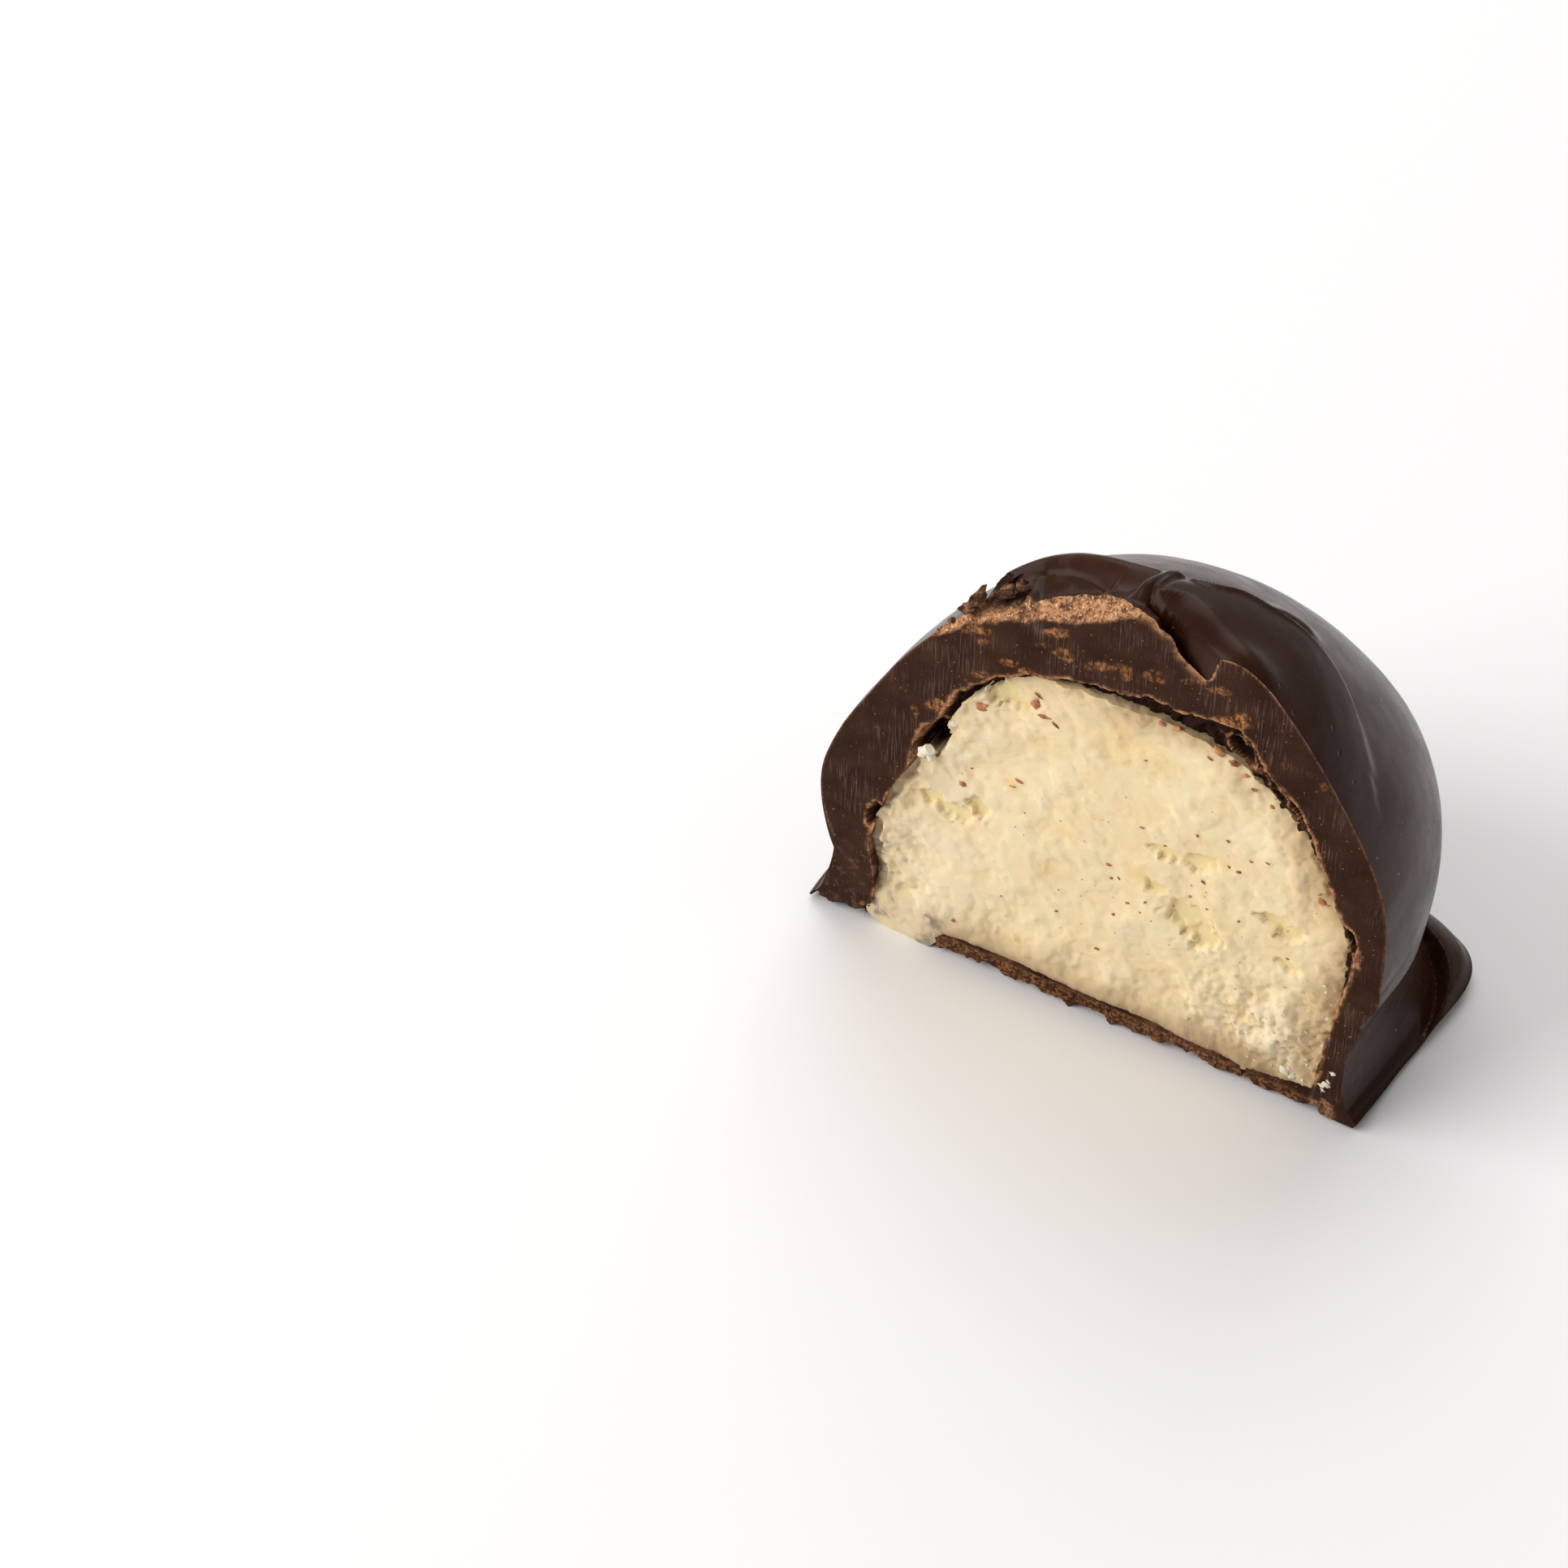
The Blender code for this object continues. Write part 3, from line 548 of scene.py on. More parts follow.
def coat_shape(azimuth, row):
    """Outer surface of the whole chocolate, by row from the top."""
    coat = coat_heap()
    heights = dome_heights(coat, NECK_HEIGHT, COAT_DOME_ROWS, COAT_FOLD_ROWS)
    z = heights[np.clip(row, 0, COAT_DOME_ROWS)]
    points = np.where((row > COAT_DOME_ROWS)[:, None], foot_shape(azimuth, row), raised(coat, azimuth, z))
    points[:, 2] += NECK_TILT * points[:, 0] / coat.radius * bump(points[:, 2], NECK_HEIGHT, 2.2)
    return waisted(points)


def chip_share(x, y):
    """1 where the base is missing and the cream reaches the table, 0 elsewhere."""
    left = smooth_step((x - CHIP_LEFT) / 0.9 + 0.5)
    right = smooth_step((CHIP_RIGHT - x) / 0.9 + 0.5)
    return left * right * smooth_step((CHIP_BACK - y) / 2.2 + 0.5)


def cream_bottom():
    return bpy.context.scene.chocolate_sizes.base_thickness / MM + 0.1


def thinner_base(x):
    """How much lower the cream sinks into the base toward the right."""
    return 0.35 * smooth_step((x - 0.5) / 9.0)


def settled(x, z):
    """How far the cream's top has drawn back from the coat over it, most of all on the right."""
    return -smooth_step((z - 14.5) / 5.0) * (0.15 + 0.45 * smooth_step((x + 4.0) / 4.0))


def cream_shape(azimuth, row, grown, dome_rows, under_rows):
    """Surface of the cream centre, grown outward by a little."""
    cream = cream_heap()
    bottom = cream_bottom()
    corner_height = bottom + CREAM_CORNER
    heights = dome_heights(cream, corner_height, dome_rows)
    z = heights[np.clip(row, 0, dome_rows)]
    points = on_dome(cream, azimuth, z)
    points += outward(cream, azimuth, z) * (grown + settled(points[:, 0], z))[:, None]

    # The floor runs in from the lowest ring, round its corner, to the middle
    under = np.clip((row - dome_rows) / under_rows, 0.0, 1.0)
    middle = np.array([*ring_middle(cream, np.array(bottom)), 0.0])
    low_ring = on_dome(cream, azimuth, np.full(len(azimuth), corner_height))
    spread = (1.0 - under ** 1.4)[:, None] * (1.0 + grown / cream.radius)
    floor = middle + (low_ring - middle) * spread
    floor[:, 2] = bottom + CREAM_CORNER * (1.0 - smooth_step(under / 0.3)) - grown
    points = np.where((under > 0.0)[:, None], floor, points)

    # Near the cut the walls stand in from the plain form, and out at the missing corner of the base
    near = smooth_step((HOLLOW_REACH - points[:, 1]) / HOLLOW_REACH)
    left = np.interp(points[:, 2], *np.array(HOLLOW_LEFT).T) * smooth_step(-points[:, 0] / 4.0)
    right = np.interp(points[:, 2], *np.array(HOLLOW_RIGHT).T) * smooth_step(points[:, 0] / 4.0)
    wavy = 0.22 * roughness_at(points, 1.3, 33) * smooth_step(points[:, 0] / 8.0)
    wavy = wavy * smooth_step((12.0 - points[:, 2]) / 3.0)
    points[:, 0] += near * (left - right + wavy)

    # At the missing corner of the base the cream sags almost to the table
    sink = (bottom - 0.04) * chip_share(points[:, 0], points[:, 1])
    sink += thinner_base(points[:, 0])
    points[:, 2] -= sink * (1.0 - smooth_step((points[:, 2] - bottom) / 2.5))
    return points


def coat_outline():
    """The coat's own edge in the plane of the cut, from the left neck over the top to the right neck."""
    coat = coat_heap()
    z = np.concatenate([np.linspace(NECK_HEIGHT, 17.0, 24), np.linspace(17.3, 24.3, 50),
                        np.linspace(24.35, coat.top - 0.01, 60)])
    _, middle_y = ring_middle(coat, z)
    lean = np.arcsin(np.clip(-middle_y / (ring_radius(coat, z) * DEPTH_RATIO + 1e-9), -0.99, 0.99))
    sides = []
    for azimuth in (math.pi - lean, lean):
        sides.append(waisted(raised(coat, azimuth, z))[:, [0, 2]])
    return np.vstack([sides[0], sides[1][::-1]])


def inside_opening(plane):
    """Distance in from the opening's edge, negative on the clean cut."""
    corners = np.array(OPENING)
    x, z = plane[:, 0], plane[:, 1]
    distance, _, _ = beside(plane, np.vstack([corners, corners[:1]]))
    inside = np.zeros(len(x), bool)
    for (ax, az), (bx, bz) in zip(corners, np.roll(corners, -1, axis=0)):
        crosses = (az > z) != (bz > z)
        with np.errstate(divide="ignore", invalid="ignore"):
            inside ^= crosses & (x < ax + (z - az) * (bx - ax) / (bz - az))
    return np.where(inside, distance, -distance)


def in_oval(x, z, oval_x, oval_z, long, wide, turn=0.0):
    """1 in the middle of a turned oval, 0 on its edge and negative outside."""
    c, s = math.cos(math.radians(turn)), math.sin(math.radians(turn))
    along = ((x - oval_x) * c + (z - oval_z) * s) / long
    across = (-(x - oval_x) * s + (z - oval_z) * c) / wide
    return 1.0 - np.hypot(along, across)


def ragged(plane, size, amount, layer):
    """Noise of two sizes, for broken edges."""
    return amount * (roughness_at(plane, size, layer) + 0.5 * roughness_at(plane, size * 0.4, layer + 1))


def torn_share(plane):
    """1 on the granular edge that broke instead of being cut, 0 on the clean cut."""
    x, z = plane[:, 0], plane[:, 1]
    line = np.interp(x, *np.array(TORN_LINE).T) + ragged(plane, 0.7, 0.22, 11)
    ends = smooth_step((x - TORN_START) / 0.8 + 0.5) * smooth_step((TORN_END - x) / 1.0 + 0.5)
    return smooth_step((z - line) / 0.12) * ends, np.clip(z - line, 0.0, None) * ends


def cut_face(plane):
    """Depth of the chocolate's cut behind its plane, and how much of each mark every place has."""
    x, z = plane[:, 0], plane[:, 1]
    gap = inside_opening(plane) + ragged(plane, 0.8, 0.16, 21) + 0.06 * roughness_at(plane, 0.22, 25)
    low = smooth_step((z - 1.45 + thinner_base(x)) / 0.5)
    strip = smooth_step(gap / STRIP_EDGE) * np.maximum(low, x < -7.0)
    rim = bump(gap, -0.02, 0.09)

    # The granular edge slopes back, and the rope's broken end stands farther back over a dark slot
    torn, torn_height = torn_share(plane)
    grain = ragged(plane, 0.34, 0.20, 31)
    depth = torn_height.clip(0.0, TORN_DEEPEST) * TORN_SLOPE + torn * (grain + 0.05)
    end = smooth_step((torn_height - 0.30 + 0.3 * grain) / 0.08) * smooth_step((ROPE_END_RIGHT - x) / 0.3)
    end = end * smooth_step((x - ROPE_END_LEFT) / 0.4)
    depth = depth + end * (ROPE_END_DEPTH + 1.2 * grain)
    deep = 0.22 + 0.28 * smooth_step((9.0 - x) / 3.0) * smooth_step((z - 9.0) / 4.0)
    crusty = ragged(plane, 0.55, 0.30, 41) + 0.10 * roughness_at(plane, 0.24, 44)
    depth = depth + strip * (deep + crusty + 0.25 * smooth_step(gap))

    for pocket in POCKETS:
        inside = in_oval(x, z, pocket.x, pocket.z, pocket.long, pocket.wide, pocket.turn)
        inside = inside + ragged(plane, 0.5, 0.3, 51)
        hollowed = smooth_step(inside * pocket.wide / POCKET_EDGE)
        depth = depth + pocket.depth * hollowed
        rim = np.maximum(rim, bump(inside, -0.08, 0.12))
        strip = np.maximum(strip, hollowed)

    smear = np.zeros(len(x))
    streaky = 0.20 * roughness_at(plane * (1.0, 0.3), 0.16, 61) + ragged(plane, 0.55, 0.40, 62)
    for mark in SMEARS:
        inside = in_oval(x, z, mark.x, mark.z, mark.long * 1.2, mark.tall, SMEAR_TURN) + streaky
        smear = np.maximum(smear, mark.strength * smooth_step(inside / 0.35))

    # A thin scraped line runs along the cut's outer edge from the torn edge past the notch
    outer, _, _ = beside(plane, coat_outline())
    crown = smooth_step((x + 9.0) / 2.0) * smooth_step((9.5 - x) / 3.0)
    rim = np.maximum(rim, bump(outer, 0.0, 0.06) * (0.25 + 0.75 * crown))
    notch_side = smooth_step((x - 0.6) / 0.8) * smooth_step((NOTCH[0] - x) / 0.3)
    rim = np.maximum(rim, 0.8 * bump(outer, 0.0, 0.30 + 0.10 * streaky) * notch_side)
    rim = rim * (1.0 - 0.8 * (z < 1.9))

    # The base was chipped along the table and its right end broke off short
    base = cream_bottom() - 0.1 - thinner_base(x)
    chipped = smooth_step((0.35 + ragged(plane, 1.1, 0.5, 71) - z) / 0.15)
    depth = depth + BASE_CHIP_DEPTH * chipped * smooth_step((BASE_ENDS_AT - x) / 0.6) * (z < base)
    on_base = smooth_step((base + 0.1 - z) / 0.2) * smooth_step((11.6 - x) / 0.5) * smooth_step((x + 7.9) / 0.5)
    depth = depth + on_base * (0.08 + ragged(plane, 0.5, 0.08, 81))

    # The knife left faint upright lines, and the right foot's lower corner is scuffed
    depth = depth + 0.010 * roughness_at(plane * (1.0, 0.12), 0.16, 91)
    scuffed = smooth_step((1.25 - z + ragged(plane, 0.5, 0.45, 95)) / 0.3) * smooth_step((x - 11.7) / 0.3)
    torn = np.maximum(torn * (1.0 - 0.8 * end), 0.6 * scuffed * smooth_step((13.3 - x) / 0.6))
    marks = {"torn": torn, "strip": np.maximum(strip, end), "rim": rim, "smear": smear, "base": on_base,
             "left_foot": smooth_step((5.5 - z) / 1.5) * smooth_step((-8.5 - x) / 1.0)}
    return np.maximum(depth, 0.0), marks


def cream_face(plane):
    """Depth of the cream's broken face behind the cut, and how much of each mark every place has."""
    x, z = plane[:, 0], plane[:, 1]
    gap = inside_opening(plane)
    crumbly = smooth_step((x - 1.0) / 8.0) * smooth_step((11.0 - z) / 8.0)
    crumbly = np.maximum(crumbly, 0.55 * smooth_step((-7.5 - x) / 2.0) * smooth_step((9.0 - z) / 3.0))
    fine = roughness_at(plane, 0.5, 8)
    finest = roughness_at(plane, 0.27, 12)
    rough = np.maximum(0.30 + 0.70 * smooth_step((4.0 - gap) / 4.0), crumbly)
    depth = FACE_DEPTH + ragged(plane, 3.4, 0.12, 3) + 0.04 * rough * roughness_at(plane, 1.0, 5)

    # A pale crust lies over the smoother cream in ragged sheets with small ledges
    spread = 0.12 + 0.35 * smooth_step((-4.5 - x) / 3.0) - 0.45 * bump(x, 2.0, 4.0) * bump(z, 15.5, 4.5)
    spread = spread + 0.25 * crumbly
    sheets = roughness_at(plane * (0.8, 1.0), 2.0, 7) + 0.40 * roughness_at(plane, 0.8, 9) + 0.25 * fine
    crust = np.zeros(len(x))
    for level, thick in CRUST_SHEETS:
        on_sheet = smooth_step((sheets + spread - level) / 0.06)
        depth = depth - thick * (0.25 + rough) * on_sheet
        crust = crust + 0.25 * on_sheet

    # Flat ledges and loose crumbs where it is driest
    warp = np.column_stack([roughness_at(plane, 0.9, 14), roughness_at(plane, 0.9, 15)]) * 0.30
    warp = warp + np.column_stack([fine, finest]) * 0.12
    coarse = facets_at(plane + warp, 1.3, 2)
    small = facets_at(plane + 0.6 * warp, 0.48, 4)
    along = np.column_stack([0.55 * (x - 0.7 * z), z + 0.7 * x])
    broken = roughness_at(along, 1.5, 16) + 0.6 * roughness_at(along, 0.7, 17) + 0.45 * fine + 0.3 * finest
    depth = depth + crumbly * (0.14 * coarse + 0.30 * ledges_of(broken, 2.6, 0.35))
    depth = depth + 0.06 * rough * (small - 0.5)
    depth = depth + (0.4 * rough - 0.08 + crumbly) * 0.05 * finest

    # Shallow hollows that join
    warped = plane + 0.9 * warp
    deepest = np.full(len(x), -9.0)
    for hollow in CREAM_PITS:
        inside = in_oval(*warped.T, hollow.x, hollow.z, hollow.wide * PIT_GROWTH, hollow.tall * PIT_GROWTH)
        deepest = np.maximum(deepest, inside)
    pit = smooth_step((deepest - 0.02 + 0.55 * fine + 0.30 * finest) / 0.24)
    depth = depth + pit * (PIT_DEPTH - 0.6 * (depth - FACE_DEPTH))
    pit = np.maximum(pit, 0.45 * crumbly * smooth_step((broken - 0.40) / 0.25))

    # The cream falls back raggedly at its edge, and far back in the cavity at the left
    back = smooth_step((0.55 - gap + 0.4 * fine + 0.25 * sheets) / 0.4) * smooth_step((z - 1.8) / 1.0)
    cavity = in_oval(x, z, CAVITY.x, CAVITY.z, CAVITY.long, CAVITY.wide, CAVITY.turn)
    cavity = smooth_step((cavity + 0.25 * fine) / 0.2)
    snug = smooth_step((x - 8.0) / 3.0) * smooth_step((10.0 - z) / 2.0)
    depth = depth + 0.35 * back * (1.0 - 0.9 * snug) + CAVITY.depth * cavity
    near_base = smooth_step((3.2 - z) / 2.0)
    depth = depth * (1.0 - 0.6 * near_base) + 0.05

    # Where the cream is yellower, paler, greyed by chocolate dust, or browner as painted shade at its edges,
    # under the strip, under the coat's overhang at the top and near the base
    warm = np.zeros(len(x))
    # The first warm patch is painted shadow under the coat's overhang at the top of the cream
    for patch in WARM_PATCHES_AND_SHADOW:
        inside = in_oval(x, z, patch.x, patch.z, patch.wide, patch.tall) + 0.6 * sheets
        warm = np.maximum(warm, patch.share * smooth_step(inside / 0.9))
    pale_crust = 0.7 * crust * (0.3 + 0.7 * smooth_step((-2.0 - x) / 5.0))
    pale = np.maximum(pale_crust, 0.8 * crumbly * smooth_step((0.15 - broken) / 0.4))
    # Painted shade near the coat, stronger toward the right, and painted shadow under the strip at the top
    edge = smooth_step((2.6 - gap + 0.5 * sheets) / 2.5) * (0.50 + 0.45 * smooth_step((x - 3.0) / 4.0))
    shadow_under_strip = smooth_step((3.4 - gap + 0.6 * sheets) / 2.2) * bump(x, 2.6, 3.8)
    shadow_under_strip = shadow_under_strip * smooth_step((z - 15.0) / 2.5)
    edge = np.maximum(edge, 0.9 * shadow_under_strip)
    # Painted shade: the cream just above the base is drawn browner
    shade = smooth_step((2.7 - z + 0.3 * sheets) / 1.6) * smooth_step((x + 8.5) / 1.5)
    shade = shade * smooth_step((10.5 - x) / 1.5)
    dusty = smooth_step((1.05 - gap + 0.9 * sheets) / 0.4) * smooth_step((-6.5 - x) / 1.5)
    dusty = dusty * (0.25 + 0.75 * smooth_step((6.5 - z) / 2.0))
    marks = {"hole": cavity, "pit": pit, "warm": warm * (1.0 - 0.6 * crust), "pale": pale, "shade": shade,
             "dusty": dusty, "edge": edge}
    return np.maximum(depth, 0.03), marks


def coat_heap():
    sizes = bpy.context.scene.chocolate_sizes
    return Heap(radius=sizes.shell_width / MM / 2, widest=9.0, top=sizes.shell_height / MM, closing=1.60,
                blunt=0.53, tuck=0.28, lean_low=0.10, lean_high=1.28, swell=COAT_SWELL)


def cream_heap():
    sizes = bpy.context.scene.chocolate_sizes
    return Heap(radius=sizes.cream_width / MM / 2, widest=6.5, top=sizes.cream_height / MM, closing=1.60,
                blunt=0.38, tuck=0.06, lean_low=0.45, lean_high=1.80, swell=CREAM_SWELL)


def linked(name, data):
    """Puts a mesh, a camera or a light into the scene as an object."""
    item = bpy.data.objects.new(name, data)
    bpy.context.scene.collection.objects.link(item)
    return item


def mesh_of(solid, name):
    """Turns a shape under construction into a mesh."""
    mesh = bpy.data.meshes.new(name)
    solid.to_mesh(mesh)
    solid.free()
    return mesh


def mesh_places(mesh):
    places = np.empty(len(mesh.vertices) * 3)
    mesh.vertices.foreach_get("co", places)
    return places.reshape(-1, 3)


def moulded(name, shape, segments, rows):
    """A ball primitive whose rings are pushed out to the given shape."""
    ball = bmesh.new()
    bmesh.ops.create_uvsphere(ball, u_segments=segments, v_segments=rows, radius=1.0)
    mesh = mesh_of(ball, name)
    unit = mesh_places(mesh)
    azimuth = np.arctan2(unit[:, 1], unit[:, 0])
    row = np.rint(np.arccos(np.clip(unit[:, 2], -1.0, 1.0)) / math.pi * rows).astype(int)
    mesh.vertices.foreach_set("co", (shape(azimuth, row) * MM).ravel())
    mesh.update()
    return linked(name, mesh)


def front_block(name, face, slot):
    """A block in front of the chocolate whose back is the cut's own uneven face."""
    width, height = FACE_RIGHT - FACE_LEFT, FACE_TOP - FACE_BOTTOM
    block = bmesh.new()
    columns, levels = round(width / FACE_STEP), round(height / FACE_STEP)
    bmesh.ops.create_grid(block, x_segments=columns, y_segments=levels, size=0.5)
    sheet = len(block.verts)
    border = [edge for edge in block.edges if edge.is_boundary]
    made = bmesh.ops.extrude_edge_only(block, edges=border)["geom"]
    front = [edge for edge in made if isinstance(edge, bmesh.types.BMEdge) and edge.is_boundary]
    bmesh.ops.holes_fill(block, edges=front, sides=0)
    bmesh.ops.recalc_face_normals(block, faces=list(block.faces))
    mesh = mesh_of(block, name)
    places = mesh_places(mesh)
    x = FACE_LEFT + (places[:, 0] + 0.5) * width
    z = FACE_BOTTOM + (places[:, 1] + 0.5) * height
    depth = np.full(len(x), -CUT_REACH)
    depth[:sheet], _ = face(np.column_stack([x[:sheet], z[:sheet]]))
    mesh.vertices.foreach_set("co", (np.column_stack([x, depth, z]) * MM).ravel())
    mesh.polygons.foreach_set("material_index", np.full(len(mesh.polygons), slot))
    mesh.update()
    cutter = linked(name, mesh)
    flip_if_inside_out(cutter)
    return cutter


def flip_if_inside_out(piece):
    solid = bmesh.new()
    solid.from_mesh(piece.data)
    if solid.calc_volume(signed=True) < 0.0:
        bmesh.ops.reverse_faces(solid, faces=list(solid.faces))
        solid.to_mesh(piece.data)
    solid.free()


def cut_away(piece, cutters):
    """Takes the cutters' shapes out of the piece for good and removes them."""
    for cutter in cutters:
        boolean = piece.modifiers.new("cut by " + cutter.name, "BOOLEAN")
        boolean.operation = "DIFFERENCE"
        boolean.solver = "MANIFOLD"
        boolean.object = cutter
    graph = bpy.context.evaluated_depsgraph_get()
    whole = piece.data
    piece.data = bpy.data.meshes.new_from_object(piece.evaluated_get(graph))
    piece.data.name = piece.name
    piece.modifiers.clear()
    bpy.data.meshes.remove(whole)
    for cutter in cutters:
        bpy.data.objects.remove(cutter, do_unlink=True)
    if len(piece.data.polygons) < 1000:
        raise RuntimeError(piece.name + " has too few faces after the cut")


def keep_marks(mesh, places, face):
    """Stores each mark's share at every vertex near the cut, for the material to read."""
    near = places[:, 1] < FACE_REACH
    _, marks = face(places[near][:, [0, 2]])
    for name, share in marks.items():
        values = np.zeros(len(places), np.float32)
        values[near] = share
        mesh.attributes.new(name, "FLOAT", "POINT").data.foreach_set("value", values)


def finish_piece(piece, node, sharp_angle):
    """Shades a piece, moves it onto the solids, hangs it under the root body and hides the part it stands for."""
    piece.data.shade_smooth()
    piece.data.set_sharp_from_angle(angle=math.radians(sharp_angle))
    piece.location = CUT_MIDDLE
    bpy.context.view_layer.update()
    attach(piece, "root")
    if node:
        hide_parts(node)


def fill(tree, node, inputs):
    """Sets a node's inputs to plain values or joins them to other nodes' outputs."""
    for name, value in inputs.items():
        if isinstance(value, bpy.types.NodeSocket):
            tree.links.new(value, node.inputs[name])
        else:
            node.inputs[name].default_value = value


def add_node(tree, kind, inputs, output, **settings):
    """Adds a shader node with its settings and inputs and returns one of its outputs."""
    node = tree.nodes.new("ShaderNode" + kind)
    for name, value in settings.items():
        setattr(node, name, value)
    fill(tree, node, inputs)
    return node.outputs[output]


def ramped(tree, value, low, high, from_value=0.0, to_value=1.0):
    """Maps low..high to from_value..to_value, smoothly and clamped."""
    inputs = {"Value": value, "From Min": low, "From Max": high, "To Min": from_value, "To Max": to_value}
    return add_node(tree, "MapRange", inputs, "Result", interpolation_type="SMOOTHSTEP")


class Finish:
    """A node material under construction: places in millimetres and short ways to add nodes."""

    def __init__(self, name):
        self.material = bpy.data.materials.new(name)
        self.material.use_nodes = True
        self.tree = self.material.node_tree
        self.surface = self.tree.nodes["Principled BSDF"]
        self.surface.inputs["Metallic"].default_value = 0.0
        self.where = add_node(self.tree, "TexCoord", {}, "Object")

    def scaled(self, per_mm):
        """Places in units of which so many make a millimetre, along all axes or along each."""
        along = per_mm if isinstance(per_mm, tuple) else (per_mm,) * 3
        inputs = {"Scale": tuple(value / MM for value in along), "Vector": self.where}
        return add_node(self.tree, "Mapping", inputs, "Vector")

    def noise(self, per_mm, detail=3.0, rough=0.55):
        inputs = {"Scale": 1.0, "Detail": detail, "Roughness": rough, "Vector": self.scaled(per_mm)}
        return add_node(self.tree, "TexNoise", inputs, "Fac")

    def cells(self, per_mm):
        return add_node(self.tree, "TexVoronoi", {"Scale": 1.0, "Vector": self.scaled(per_mm)}, "Distance")

    def mark(self, name):
        return add_node(self.tree, "Attribute", {}, "Fac", attribute_name=name)

    def ramp(self, value, *ends):
        return ramped(self.tree, value, *ends)

    def times(self, first, second):
        return add_node(self.tree, "Math", {0: first, 1: second}, 0, operation="MULTIPLY")

    def mix(self, share, first, second):
        """Mixes two colours, each a colour or a socket, by a share."""
        first, second = (value if isinstance(value, bpy.types.NodeSocket) else (*value[:3], 1.0)
                         for value in (first, second))
        return add_node(self.tree, "Mix", {0: share, 6: first, 7: second}, 2, data_type="RGBA")

    def look(self, inputs):
        """Fills the inputs of the surface itself."""
        fill(self.tree, self.surface, inputs)

    def relief(self, height, depth_mm, strength):
        """Bumps the surface by a height of 0 to 1 times a depth; later calls add to earlier ones."""
        inputs = {"Strength": strength, "Distance": depth_mm * MM, "Height": height}
        normal = self.surface.inputs["Normal"]
        if normal.is_linked:
            inputs["Normal"] = normal.links[0].from_socket
        self.look({"Normal": add_node(self.tree, "Bump", inputs, "Normal")})


def coat_finish():
    """Satin dark chocolate: faint reddish clouds, a hazy gloss, dust specks and tiny dents."""
    colours = bpy.context.scene.chocolate_colours
    finish = Finish("dark coat")
    clouds = finish.noise(0.16, 4.0, 0.6)
    base = finish.mix(finish.ramp(clouds, 0.35, 0.7), colours.coat, colours.coat_light)
    haze = finish.ramp(finish.noise((0.35, 0.35, 0.9), 5.0, 0.65), 0.56, 0.80, 0.0, 0.20)
    base = finish.mix(haze, base, colours.bloom)
    specks = finish.ramp(finish.cells(1.1), 0.045, 0.075, 1.0, 0.0)
    some = finish.ramp(finish.noise(0.5, 1.0), 0.50, 0.56)
    base = finish.mix(finish.times(specks, some), base, colours.speck)
    gloss = finish.ramp(finish.noise(0.5, 6.0, 0.7), 0.3, 0.75, 0.24, 0.36)
    finish.look({"Base Color": base, "Roughness": gloss, "Specular IOR Level": 0.17,
                 "Specular Tint": (0.72, 0.65, 0.62, 1.0)})
    finish.relief(finish.noise(1.4, 4.0, 0.6), 0.02, 0.5)
    dents = finish.ramp(finish.cells(0.62), 0.04, 0.10, 0.0, 1.0)
    finish.relief(dents, 0.03, 0.6)
    return finish.material


